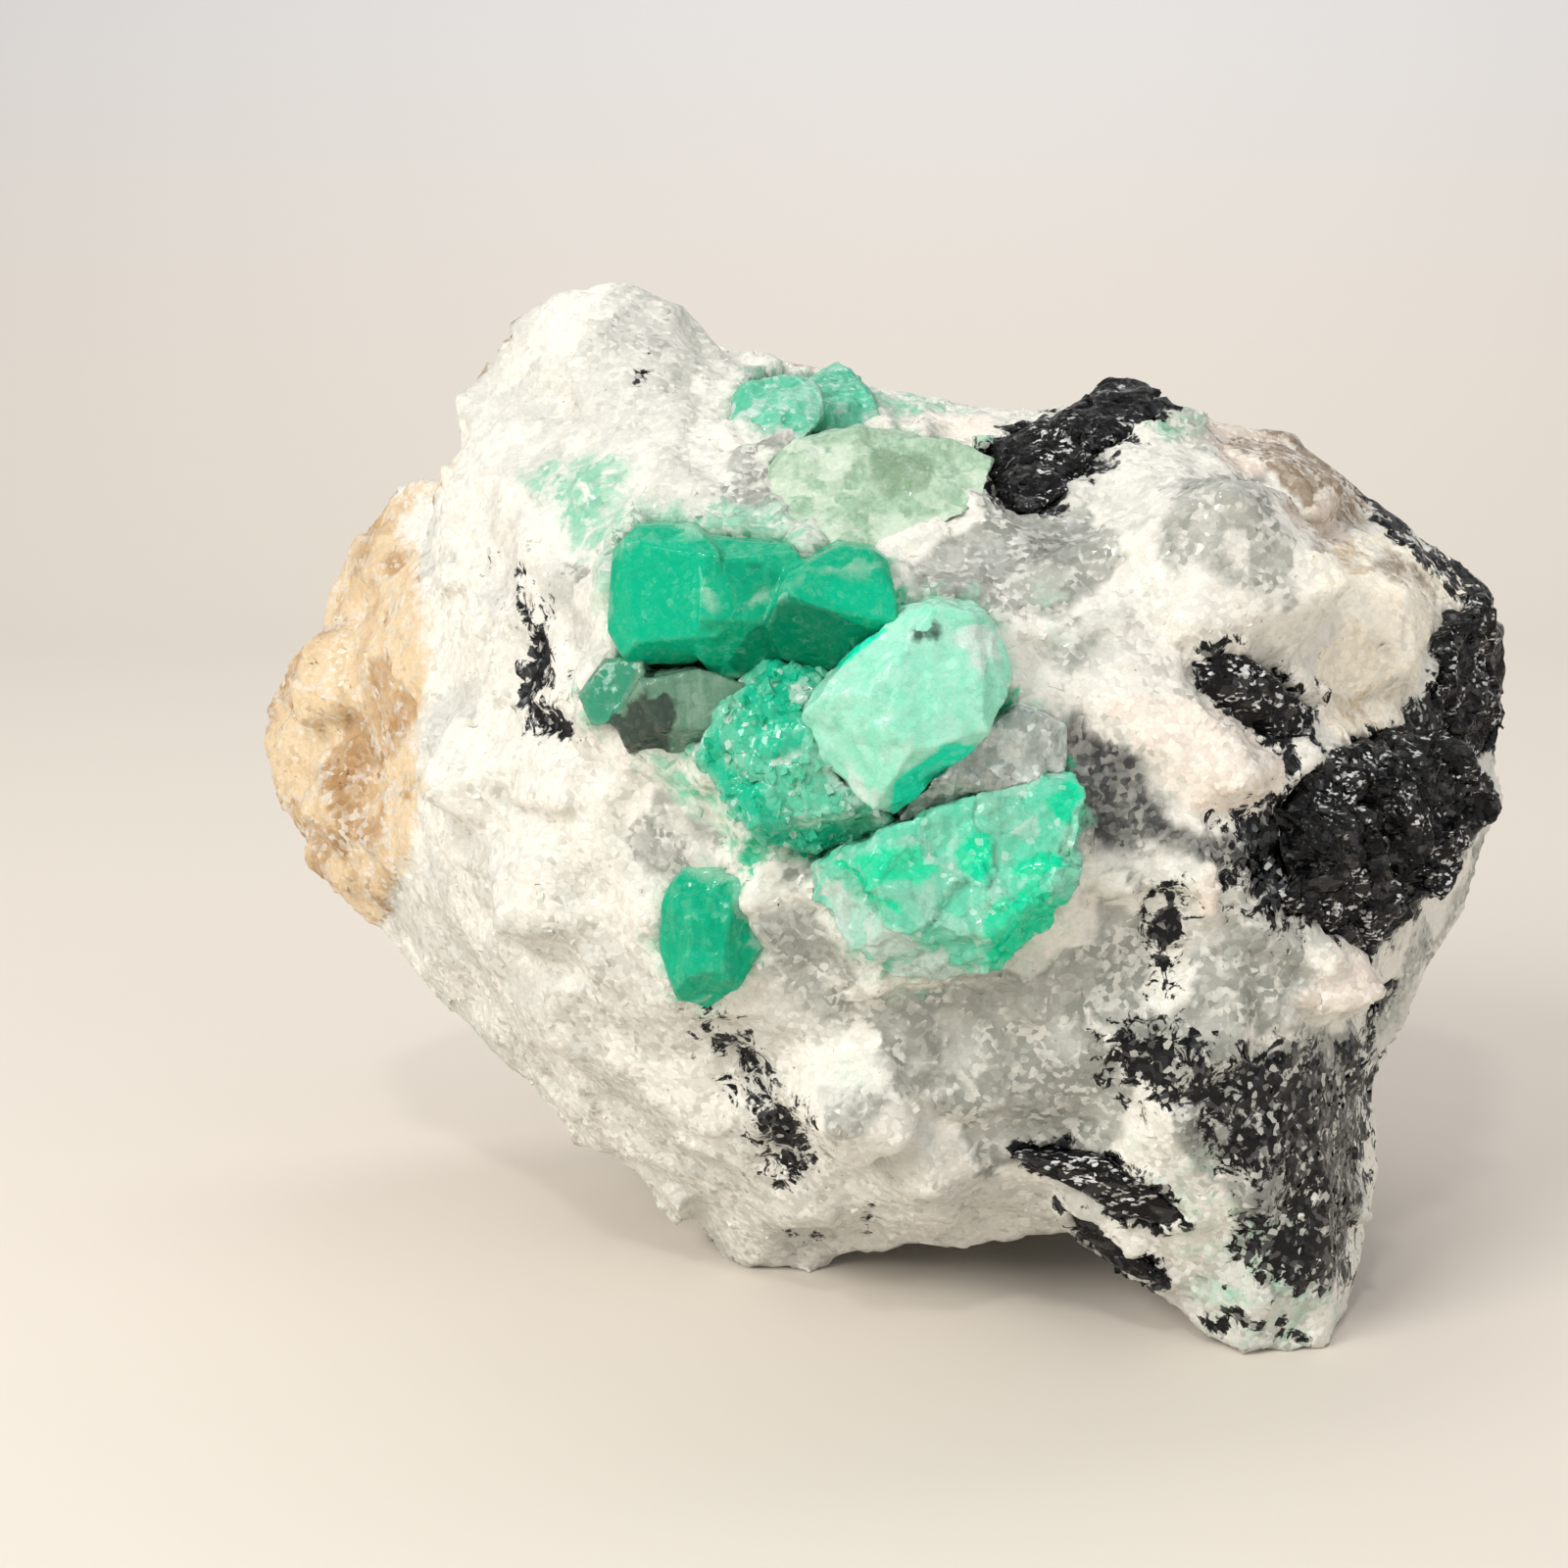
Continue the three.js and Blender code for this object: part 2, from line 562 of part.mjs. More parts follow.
function solidOf(geometry) {
  const merged = mergeVertices(bareGeometry(geometry), mergeDistance);
  const vertProperties = new Float32Array(merged.attributes.position.array);
  const triVerts = new Uint32Array(merged.index.array);
  return new wasm.Manifold(new wasm.Mesh({ numProp: 3, vertProperties, triVerts }));
}

function joined(solids) {
  return solids.reduce((all, solid) => all.add(solid));
}

// The largest body of a solid, without the crumbs that a cut leaves loose.
function mainBody(solid) {
  return solid.decompose().reduce((largest, body) => (body.volume() > largest.volume() ? body : largest));
}

function geometryOf(solid) {
  const { vertProperties, triVerts } = solid.getMesh();
  const geometry = new THREE.BufferGeometry();
  geometry.setAttribute('position', new THREE.BufferAttribute(new Float32Array(vertProperties), 3));
  geometry.setIndex(new THREE.BufferAttribute(new Uint32Array(triVerts), 1));
  return geometry;
}

function namedMesh(name, solid, { color, roughness }) {
  const material = new THREE.MeshStandardMaterial({ color, roughness, metalness: 0 });
  const mesh = new THREE.Mesh(geometryOf(mainBody(solid)), material);
  mesh.name = name;
  return mesh;
}

// The lump: a fracture through its corners, its blocks, and the flat facets that it rests on.
const lumpCorners = Object.values(corners).flat().map(([x, y, z]) => new THREE.Vector3(x, y, z));
const skin = skinThrough(lumpCorners);
const blocks = [...lumps.map(lumpGeometry), ...flakesOn(skin)].map(solidOf);
const underFloor = new THREE.BoxGeometry(reach, reach, reach).translate(0, 0, restHeight - reach / 2);
let matrix = joined([solidOf(brokenSurface(skin)), ...blocks]);
matrix = matrix.subtract(solidOf(underFloor));

const specimen = new THREE.Group();
const taken = [];
for (const [name, look] of Object.entries(crystals)) {
  const shapes = look.blocks;
  let crystal = joined(shapes.map((shape) => solidOf(blockGeometry(shape, 0, false))));
  for (const neighbour of taken) crystal = crystal.subtract(neighbour);
  specimen.add(namedMesh(name, crystal, look));
  taken.push(joined(shapes.map((shape) => solidOf(blockGeometry(shape, seam, false)))));
  matrix = matrix.subtract(joined(shapes.map((shape) => solidOf(blockGeometry(shape, seam, true)))));
}
specimen.add(namedMesh('quartz_matrix', matrix, matrixLook));

// The origin is under the middle of the specimen's box, at the height of the facets that it rests on.
const middle = new THREE.Box3().setFromObject(specimen).getCenter(new THREE.Vector3());
specimen.position.set(-middle.x, -middle.y, -restHeight);

export default specimen;
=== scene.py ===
import math

import bmesh
import bpy
import numpy as np
from mathutils import Matrix, Vector, noise
from mathutils.bvhtree import BVHTree


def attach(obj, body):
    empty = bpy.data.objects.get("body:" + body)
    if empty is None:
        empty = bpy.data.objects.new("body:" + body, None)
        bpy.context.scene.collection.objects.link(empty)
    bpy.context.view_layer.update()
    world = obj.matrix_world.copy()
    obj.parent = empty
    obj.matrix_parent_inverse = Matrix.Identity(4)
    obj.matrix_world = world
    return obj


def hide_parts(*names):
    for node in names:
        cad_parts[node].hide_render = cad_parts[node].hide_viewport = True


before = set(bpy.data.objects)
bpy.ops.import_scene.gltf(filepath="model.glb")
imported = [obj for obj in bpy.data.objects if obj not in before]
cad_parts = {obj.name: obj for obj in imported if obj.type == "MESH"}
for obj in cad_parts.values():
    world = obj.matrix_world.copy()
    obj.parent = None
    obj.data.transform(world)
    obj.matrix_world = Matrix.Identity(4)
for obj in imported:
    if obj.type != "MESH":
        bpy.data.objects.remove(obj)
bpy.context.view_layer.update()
mm = 0.001  # the frame is in metres, the sizes below are in millimetres
mergeDistance = 0.002 * mm
noise.seed_set(7)  # the same noise in every run
print("frame: loaded", len(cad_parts), "nodes")


# Camera at the photo's viewpoint
photoView = {
    "size": 1600,  # side of the photo in pixels
    "lens": 50,
    "sensor": 36,
    "eye": (-5.43, -118.51, 44.6),  # mm
    "lookDown": 9,  # degrees below the horizon
    "nearest": 5,  # mm, nothing closer is drawn
}


def makeCamera():
    data = bpy.data.cameras.new("photoCamera")
    data.lens = photoView["lens"]
    data.sensor_width = photoView["sensor"]
    data.clip_start = photoView["nearest"] * mm
    camera = bpy.data.objects.new("photoCamera", data)
    camera.location = Vector(photoView["eye"]) * mm
    camera.rotation_euler = (math.radians(90 - photoView["lookDown"]), 0, 0)
    bpy.context.scene.collection.objects.link(camera)
    bpy.context.scene.camera = camera


# Photo pixel of each point, pixels to the millimetre there, and the way to the eye
def seenAt(points):
    offset = points - np.array(photoView["eye"])
    down = math.radians(photoView["lookDown"])
    depth = offset @ np.array((0, math.cos(down), -math.sin(down)))
    height = offset @ np.array((0, math.sin(down), math.cos(down)))
    pixelsPerMm = photoView["size"] * photoView["lens"] / photoView["sensor"] / depth
    middle = photoView["size"] / 2
    pixels = np.stack((middle + offset[:, 0] * pixelsPerMm, middle - height * pixelsPerMm), 1)
    toEye = -offset / np.linalg.norm(offset, axis=1)[:, None]
    return pixels, pixelsPerMm, toEye


makeCamera()
print("camera: set at the photo's viewpoint")


# Where each finish shows on the front. Outlines are in the photo's pixels, strength is how fully
# the finish covers (1 where not given), and lift is in mm out of the stone.
zones = {
    # black mica
    "mica": {
        "crestPatch": {"lift": -0.2, "outline": [
            (1000, 490), (1015, 465), (1060, 448), (1120, 425), (1165, 406), (1225, 404), (1180, 430),
            (1130, 455), (1105, 485), (1060, 515), (1025, 527)]},
        "lensPatch": {"lift": -0.3, "outline": [
            (1229, 680), (1242, 669), (1277, 669), (1302, 686), (1325, 708), (1347, 750), (1325, 751),
            (1296, 743), (1264, 728), (1243, 696)]},
        "dropFleck": {"lift": -0.2, "outline": [
            (1294, 761), (1315, 763), (1317, 782), (1310, 806), (1299, 791)]},
        "flankPatch": {"outline": [
            (1290, 830), (1330, 800), (1375, 770), (1400, 775), (1440, 720), (1460, 705), (1500, 790),
            (1530, 830), (1500, 850), (1470, 880), (1440, 930), (1415, 975), (1385, 968), (1340, 915),
            (1300, 890)]},
        "edgeFace": {"outline": [
            (1455, 700), (1475, 660), (1500, 635), (1530, 612), (1545, 650), (1540, 780), (1490, 775)]},
        "rimLine": {"outline": [
            (1375, 486), (1405, 500), (1440, 540), (1490, 585), (1535, 612), (1520, 622), (1480, 597),
            (1430, 555), (1392, 517)]},
        "edgeBlotch": {"lift": -0.3, "outline": [
            (1392, 1006), (1418, 996), (1431, 1003), (1428, 1019), (1415, 1036), (1402, 1059),
            (1387, 1064), (1398, 1039)]},
        "leftVein": {"lift": -0.5, "outline": [
            (514, 576), (521, 579), (533, 620), (557, 650), (556, 671), (546, 713), (570, 728),
            (588, 746), (572, 760), (546, 738), (531, 718), (528, 670), (529, 636), (517, 604)]},
        "streakUpper": {"strength": 0.62, "lift": -0.4, "outline": [
            (715, 1044), (741, 1069), (770, 1052), (777, 1090), (800, 1130), (790, 1150), (770, 1125),
            (749, 1111), (735, 1080)]},
        "streakLower": {"strength": 0.7, "lift": -0.3, "outline": [
            (781, 1147), (800, 1125), (817, 1135), (830, 1165), (848, 1203), (818, 1198), (799, 1183),
            (777, 1197), (765, 1188)]},
        "footSmudge": {"strength": 0.6, "outline": [
            (781, 1240), (799, 1247), (856, 1251), (859, 1276), (824, 1283), (795, 1272)]},
        "footFleck": {"outline": [(877, 1252), (888, 1238), (892, 1247), (884, 1258)]},
        "blotchFleck": {"strength": 0.6, "outline": [(800, 1004), (815, 1003), (845, 1035), (832, 1040)]},
        "upperBlade": {"outline": [
            (1045, 1180), (1090, 1188), (1126, 1198), (1166, 1208), (1193, 1228), (1203, 1245),
            (1166, 1246), (1133, 1231), (1110, 1208)]},
        "lowerBlade": {"outline": [
            (1091, 1238), (1110, 1245), (1133, 1262), (1153, 1285), (1188, 1312), (1160, 1311),
            (1146, 1291), (1116, 1271)]},
        "footBlotch": {"outline": [
            (1222, 1350), (1250, 1346), (1262, 1338), (1288, 1346), (1292, 1358), (1262, 1362),
            (1232, 1368)]},
        "footSpot": {"outline": [(1309, 1348), (1325, 1354), (1345, 1368), (1332, 1371), (1314, 1362)]},
        "peakSpeck": {"outline": [(648, 376), (656, 374), (660, 383), (652, 387)]},
    },
    # salt and pepper of mica grains in grey quartz
    "pepper": {
        "pepperColumn": {"strength": 0.9, "outline": [
            (1163, 906), (1200, 905), (1214, 930), (1208, 980), (1200, 1019), (1175, 1012), (1166, 960)]},
        "pepperRidge": {"strength": 0.88, "outline": [
            (1110, 1060), (1170, 1035), (1240, 1055), (1262, 1100), (1250, 1140), (1180, 1132),
            (1130, 1105)]},
        "pepperField": {"strength": 0.85, "outline": [
            (1235, 1075), (1300, 1050), (1350, 1075), (1395, 1040), (1412, 1090), (1402, 1180),
            (1388, 1260), (1375, 1325), (1330, 1322), (1270, 1310), (1262, 1250), (1300, 1225),
            (1240, 1190), (1225, 1130)]},
        "pepperFlank": {"strength": 0.9, "outline": [
            (1245, 840), (1290, 800), (1330, 830), (1330, 900), (1310, 950), (1262, 930), (1255, 880)]},
        "pepperStreak": {"strength": 0.72, "outline": [
            (713, 1030), (760, 1020), (800, 1100), (850, 1200), (820, 1215), (765, 1205), (760, 1130),
            (725, 1080)]},
        "pepperVein": {"strength": 0.55, "outline": [
            (510, 570), (530, 580), (570, 655), (590, 680), (570, 720), (600, 755), (580, 775),
            (530, 730), (515, 650)]},
    },
    # iron stain on the left shoulder and in spots
    "stain": {
        "stainedShoulder": {"outline": [
            (470, 470), (419, 521), (412, 541), (431, 566), (441, 627), (444, 665), (428, 706),
            (425, 760), (440, 800), (432, 850), (405, 900), (385, 945), (330, 940), (250, 830),
            (230, 740), (330, 560)]},
        "peakStain": {"strength": 0.45, "outline": [(645, 325), (668, 315), (685, 322), (665, 342)]},
        "yellowSpot": {"strength": 0.45, "outline": [(540, 850), (556, 848), (558, 868), (544, 872)]},
    },
    # cream feldspar
    "cream": {
        "creamBlock": {"lift": 0.2, "outline": [
            (1350, 559), (1372, 543), (1411, 533), (1439, 552), (1474, 571), (1519, 603), (1516, 622),
            (1471, 632), (1449, 667), (1439, 712), (1411, 760), (1366, 775), (1347, 724), (1334, 683),
            (1353, 657), (1379, 629), (1347, 603)]},
        "creamUnderMint": {"strength": 0.6, "outline": [
            (1195, 455), (1235, 440), (1245, 465), (1220, 478)]},
    },
    # pinkish feldspar
    "blush": {
        "beigeWedge": {"lift": 0.25, "outline": [
            (1121, 728), (1168, 718), (1232, 715), (1258, 724), (1293, 750), (1302, 775), (1296, 795),
            (1283, 817), (1264, 839), (1232, 826), (1200, 810), (1168, 775), (1146, 747)]},
        "pinkChip": {"strength": 0.8, "lift": 0.5, "outline": [
            (1210, 878), (1240, 882), (1254, 905), (1245, 940), (1222, 947), (1208, 920)]},
        "pinkLump": {"strength": 0.9, "lift": 0.9, "outline": [
            (1305, 1000), (1335, 957), (1365, 955), (1388, 975), (1392, 1010), (1370, 1028),
            (1330, 1030)]},
        "ridgeBeige": {"strength": 0.75, "outline": [
            (905, 440), (940, 425), (1000, 420), (1035, 440), (1000, 462), (940, 450)]},
    },
    # grey glassy quartz
    "grey": {
        "peakFacet": {"strength": 0.22, "lift": -0.3, "outline": [
            (594, 320), (620, 292), (650, 280), (700, 300), (760, 350), (740, 440), (735, 500),
            (690, 470), (655, 400), (640, 372), (610, 355)]},
        "beigeWindow": {"strength": 0.75, "outline": [
            (738, 442), (775, 438), (797, 460), (790, 510), (760, 530), (735, 500)]},
        "veinFacet": {"strength": 0.42, "lift": -0.4, "outline": [
            (525, 572), (570, 550), (608, 560), (625, 620), (622, 670), (580, 690), (558, 650),
            (535, 610)]},
        "coreHollow": {"strength": 0.62, "lift": -0.6, "outline": [
            (636, 800), (690, 785), (730, 830), (750, 870), (725, 905), (680, 905), (645, 890),
            (630, 850)]},
        "greyDome": {"strength": 0.57, "outline": [
            (1150, 545), (1180, 500), (1215, 474), (1250, 468), (1290, 480), (1320, 505), (1345, 545),
            (1352, 590), (1340, 640), (1310, 665), (1275, 660), (1255, 625), (1205, 600), (1170, 580)]},
        "ridgeShade": {"strength": 0.85, "outline": [
            (915, 578), (985, 530), (1045, 505), (1120, 518), (1160, 560), (1130, 600), (1110, 632),
            (1040, 625), (1000, 640), (925, 628)]},
        "fanRight": {"strength": 0.7, "outline": [
            (1095, 880), (1160, 900), (1165, 960), (1170, 1015), (1110, 1030), (1060, 1000),
            (1085, 950)]},
        "midShade": {"strength": 0.46, "outline": [
            (1040, 640), (1100, 620), (1150, 645), (1140, 690), (1090, 715), (1045, 690)]},
        "lowerGlass": {"strength": 1, "outline": [
            (880, 1012), (930, 1008), (1000, 1012), (1060, 1000), (1115, 1020), (1140, 1080),
            (1150, 1150), (1120, 1188), (1060, 1180), (1010, 1190), (950, 1130), (915, 1070)]},
        "columnGlass": {"strength": 0.8, "outline": [
            (1105, 990), (1160, 972), (1178, 1015), (1205, 1022), (1220, 985), (1262, 962), (1300, 1005),
            (1300, 1050), (1200, 1055), (1115, 1045)]},
        "flankGlass": {"strength": 0.8, "outline": [
            (1262, 948), (1300, 942), (1325, 960), (1305, 1000), (1275, 1000)]},
        "edgeGlass": {"strength": 0.8, "outline": [
            (1440, 960), (1470, 900), (1510, 855), (1545, 820), (1540, 880), (1500, 940), (1460, 985),
            (1420, 1050), (1405, 1010)]},
        "pepperGlass": {"strength": 0.7, "outline": [
            (1120, 1000), (1170, 1010), (1230, 1030), (1330, 1040), (1400, 1040), (1400, 1180),
            (1370, 1330), (1290, 1320), (1240, 1200), (1150, 1120)]},
        "bridgeGlass": {"strength": 0.72, "outline": [
            (778, 866), (830, 868), (866, 888), (856, 916), (805, 908), (785, 888)]},
        "bridgeGrain": {"strength": 0.46, "outline": [
            (770, 915), (830, 905), (880, 960), (905, 1010), (860, 1040), (800, 1030), (778, 985)]},
        "whiteBlock": {"strength": 0.64, "lift": 0.2, "outline": [
            (813, 1097), (834, 1076), (877, 1072), (920, 1086), (938, 1111), (916, 1144), (888, 1190),
            (849, 1197), (827, 1154), (809, 1126)]},
    },
    # dark glassy quartz
    "dusk": {
        "ridgeDark": {"strength": 0.56, "outline": [
            (985, 572), (1040, 535), (1105, 532), (1135, 560), (1085, 588), (1020, 602)]},
        "glassDark": {"strength": 0.42, "outline": [
            (985, 1075), (1060, 1045), (1125, 1060), (1140, 1150), (1060, 1172), (1010, 1150)]},
        "pepperDusk": {"strength": 0.5, "outline": [
            (1110, 1040), (1180, 1020), (1260, 1050), (1400, 1050), (1405, 1150), (1385, 1320),
            (1290, 1300), (1240, 1200), (1140, 1130)]},
        "wedgeShade": {"strength": 0.85, "outline": [
            (1070, 715), (1100, 735), (1145, 752), (1180, 790), (1215, 832), (1245, 850), (1225, 885),
            (1160, 878), (1112, 866), (1090, 838), (1082, 790)]},
        "flankDusk": {"strength": 0.62, "outline": [
            (1240, 850), (1290, 800), (1325, 770), (1345, 800), (1335, 900), (1320, 945), (1270, 935)]},
        "streakDusk": {"strength": 0.42, "outline": [
            (715, 1040), (750, 1030), (790, 1085), (835, 1150), (850, 1205), (800, 1212), (765, 1190),
            (755, 1120)]},
        "wedgeTail": {"strength": 0.8, "outline": [
            (1195, 835), (1262, 850), (1292, 868), (1280, 905), (1240, 900), (1205, 880)]},
    },
    # brown smoky quartz
    "smoke": {
        "creamShade": {"strength": 0.62, "outline": [
            (1385, 562), (1430, 552), (1480, 588), (1472, 626), (1420, 612), (1388, 600)]},
        "ridgeBrown": {"strength": 0.6, "outline": [
            (780, 372), (815, 358), (850, 366), (855, 384), (800, 392)]},
        "smokyBand": {"lift": -0.3, "outline": [
            (1234, 446), (1245, 405), (1290, 415), (1340, 440), (1380, 475), (1408, 510), (1408, 526),
            (1379, 532), (1372, 552), (1350, 562), (1341, 539), (1315, 508), (1302, 479), (1258, 470)]},
    },
    # pale green tints in the quartz
    "mint": {
        "mintPeak": {"strength": 0.95, "outline": [
            (530, 495), (560, 480), (610, 462), (645, 485), (630, 515), (612, 552), (588, 556),
            (575, 520)]},
        "mintCollar": {"strength": 0.72, "outline": [
            (606, 570), (625, 530), (680, 517), (740, 512), (800, 515), (840, 545), (825, 580),
            (740, 566), (650, 560), (632, 600), (622, 650)]},
        "mintCrest": {"strength": 0.5, "outline": [
            (1163, 440), (1180, 415), (1215, 410), (1234, 440), (1215, 462), (1180, 462)]},
        "mintTail": {"strength": 0.95, "outline": [
            (665, 770), (700, 765), (725, 795), (755, 838), (778, 850), (770, 892), (748, 880),
            (715, 838), (688, 812)]},
        "mintRidge": {"strength": 0.34, "outline": [
            (1030, 600), (1090, 585), (1125, 620), (1150, 645), (1140, 680), (1080, 680), (1040, 650)]},
        "mintApron": {"strength": 0.62, "outline": [
            (820, 868), (850, 860), (870, 960), (925, 1000), (985, 1012), (960, 1022), (900, 1008),
            (840, 950)]},
        "mintBridge": {"strength": 0.9, "outline": [
            (752, 842), (800, 852), (850, 856), (872, 872), (850, 884), (800, 872), (765, 866)]},
        "mintFar": {"strength": 0.85, "outline": [
            (885, 418), (905, 404), (940, 400), (975, 412), (968, 426), (910, 430)]},
        "mintSpot": {"strength": 0.62, "outline": [(832, 1078), (865, 1072), (884, 1088), (850, 1102)]},
        "mintFoot": {"strength": 0.34, "outline": [
            (1150, 1160), (1220, 1150), (1290, 1230), (1380, 1330), (1370, 1390), (1250, 1390),
            (1180, 1290)]},
    },
    # green streaks that run from crystal to crystal
    "green": {
        "greenTrail": {"strength": 0.85, "outline": [
            (748, 848), (772, 844), (778, 880), (770, 908), (752, 895)]},
        "greenShoulder": {"strength": 0.55, "outline": [
            (672, 772), (700, 775), (722, 800), (758, 842), (745, 858), (712, 832), (690, 805)]},
        "baseGap": {"outline": [(655, 675), (700, 670), (740, 674), (735, 700), (670, 700)]},
    },
    # no finish, only standing out of the stone or lying below it
    "bare": {
        "chipBelow": {"lift": 0.45, "outline": [
            (899, 1169), (920, 1151), (980, 1208), (985, 1258), (949, 1261), (891, 1219)]},
        "grainyBridge": {"lift": 0.3, "outline": [
            (768, 880), (800, 870), (830, 920), (845, 975), (800, 985), (776, 940)]},
        "dropDip": {"lift": -0.8, "outline": [
            (668, 962), (672, 905), (715, 880), (765, 890), (742, 906), (702, 916), (686, 962)]},
        "lensDip": {"lift": -0.5, "outline": [
            (1215, 682), (1235, 655), (1288, 654), (1335, 695), (1362, 760), (1330, 772), (1285, 765),
            (1232, 728)]},
        "leftLedge": {"lift": 0.35, "outline": [
            (432, 738), (470, 728), (560, 770), (640, 800), (620, 880), (500, 900), (440, 850)]},
    },
    # saturated green inside the crystals, and painted light on the main crystal's lit faces
    "vivid": {
        # the main crystal's lit faces: its own saturated green, painted brighter as light falls on them
        "blockLitFace": {"outline": [
            (640, 560), (700, 552), (722, 575), (722, 650), (705, 670), (650, 672), (634, 640)]},
        "prismLitFace": {"outline": [
            (830, 598), (870, 595), (903, 600), (905, 640), (860, 622), (835, 610)]},
        "coreGreen": {"strength": 0.8, "outline": [
            (718, 769), (740, 745), (765, 790), (800, 830), (860, 840), (880, 860), (800, 862),
            (762, 840)]},
        "coreRidge": {"strength": 0.7, "outline": [
            (756, 703), (787, 672), (842, 688), (822, 722), (828, 762), (785, 772), (745, 752)]},
        "fanTip": {"outline": [
            (1000, 955), (1010, 925), (1050, 903), (1088, 905), (1085, 940), (1045, 975), (1005, 982)]},
        "fanCrest": {"strength": 0.85, "outline": [
            (975, 872), (995, 845), (1014, 850), (1010, 885), (990, 902), (978, 892)]},
        "fanEdge": {"strength": 0.8, "outline": [
            (1058, 822), (1090, 800), (1102, 822), (1090, 842), (1070, 836)]},
        "fanShelf": {"strength": 0.85, "outline": [
            (1028, 876), (1075, 866), (1092, 884), (1060, 897), (1032, 892)]},
        "fanSide": {"strength": 0.5, "outline": [
            (850, 876), (910, 858), (950, 865), (970, 895), (945, 915), (900, 905)]},
        "fanLine": {"strength": 0.8, "outline": [
            (845, 868), (872, 874), (928, 920), (938, 938), (915, 932), (870, 897)]},
        "paleLeft": {"strength": 0.28, "outline": [
            (832, 750), (850, 715), (900, 690), (935, 690), (905, 730), (872, 772), (840, 778)]},
        "smokyLeft": {"strength": 0.9, "outline": [
            (606, 715), (628, 688), (660, 688), (655, 708), (634, 738), (612, 738)]},
    },
    # dark green inside the crystals, and painted shade on crystal faces that lie in shadow
    "deep": {
        # painted shade: the main crystal's lower face, which lies in shadow
        "shadedFace": {"outline": [
            (742, 672), (765, 640), (800, 607), (850, 625), (906, 648), (862, 684), (797, 672),
            (762, 688)]},
        "darkBase": {"lift": -0.4, "outline": [
            (662, 677), (700, 672), (735, 676), (728, 694), (675, 694)]},
        "middleBlock": {"strength": 0.47, "outline": [
            (730, 560), (790, 570), (815, 590), (800, 605), (765, 630), (735, 650)]},
        "paleSide": {"strength": 0.9, "outline": [
            (907, 812), (917, 786), (959, 755), (995, 755), (985, 775), (914, 842)]},
        "paleStreak": {"strength": 0.5, "outline": [(882, 690), (892, 680), (900, 700), (886, 708)]},
        # painted shadow: a dark line on the fan where it lies in shadow
        "fanShade": {"strength": 0.5, "outline": [(1026, 868), (1076, 850), (1084, 858), (1040, 884)]},
        "bandWindow": {"strength": 0.55, "outline": [
            (886, 452), (935, 454), (960, 470), (952, 506), (905, 516), (884, 492)]},
    },
    # milky veils and frost on the crystals, and a painted sheen on the prism's top facets
    "veil": {
        "blockVein": {"strength": 0.8, "outline": [(712, 590), (722, 588), (728, 620), (718, 624)]},
        "faceVein": {"strength": 0.75, "outline": [
            (745, 615), (775, 605), (810, 592), (822, 584), (826, 592), (800, 606), (765, 622)]},
        # painted sheen: pale veil colour on the lit top facets of the main crystal's prism
        "prismSheen": {"strength": 0.5, "outline": [
            (822, 588), (850, 566), (895, 574), (900, 592), (850, 594)]},
        "coreFrost": {"strength": 0.55, "outline": [(800, 705), (820, 695), (828, 725), (812, 730)]},
        "coreStreak": {"strength": 0.6, "outline": [
            (795, 770), (812, 762), (822, 800), (830, 832), (812, 836), (800, 800)]},
        "paleCap": {"strength": 0.75, "outline": [
            (958, 652), (990, 633), (1016, 652), (1022, 705), (985, 688)]},
        "paleFrost": {"strength": 0.6, "outline": [
            (838, 778), (872, 768), (908, 800), (902, 838), (868, 802)]},
        "blockRim": {"strength": 0.6, "outline": [
            (614, 600), (622, 570), (645, 548), (700, 541), (760, 548), (700, 554), (652, 560),
            (636, 600), (634, 650), (650, 682), (630, 680), (618, 640)]},
        "fanSlab": {"strength": 0.8, "outline": [
            (838, 892), (880, 905), (930, 938), (958, 962), (935, 985), (895, 975), (850, 935)]},
        "fanFringe": {"strength": 0.75, "outline": [
            (905, 965), (960, 962), (1005, 985), (1050, 985), (1040, 1015), (960, 1018), (905, 995)]},
        "fanHorn": {"strength": 0.4, "outline": [
            (1020, 832), (1050, 815), (1082, 806), (1070, 845), (1030, 862), (1012, 855)]},
        "bandLight": {"strength": 0.62, "outline": [
            (785, 474), (812, 450), (880, 446), (880, 500), (840, 512), (792, 508)]},
        "bandFoot": {"strength": 0.55, "outline": [
            (800, 528), (880, 520), (958, 510), (930, 538), (860, 562), (805, 562)]},
        "dropFrost": {"strength": 0.55, "outline": [
            (735, 905), (760, 895), (778, 930), (776, 970), (752, 965), (745, 930)]},
    },
    # black specks on the crystals
    "soot": {
        "darkSwirl": {"strength": 0.8, "outline": [
            (634, 735), (650, 712), (668, 700), (684, 720), (680, 752), (650, 765), (636, 755)]},
        "paleSoot": {"strength": 0.75, "outline": [(932, 650), (945, 640), (965, 642), (955, 660)]},
    },
}

# mm over which a finish fades at an outline, and mm that noise moves the outlines
zoneEdge = {"stone": {"reach": 1.2, "wander": 0.45}, "crystal": {"reach": 0.5, "wander": 0.14}}
wanderSizes = (1.4, 4.5)  # mm, fine and broad
liftEdge = (-0.25, 0.35)  # mm from an outline over which its lift rises
frontEdge = (-0.75, -0.35)  # turn towards the eye over which the hidden sides end


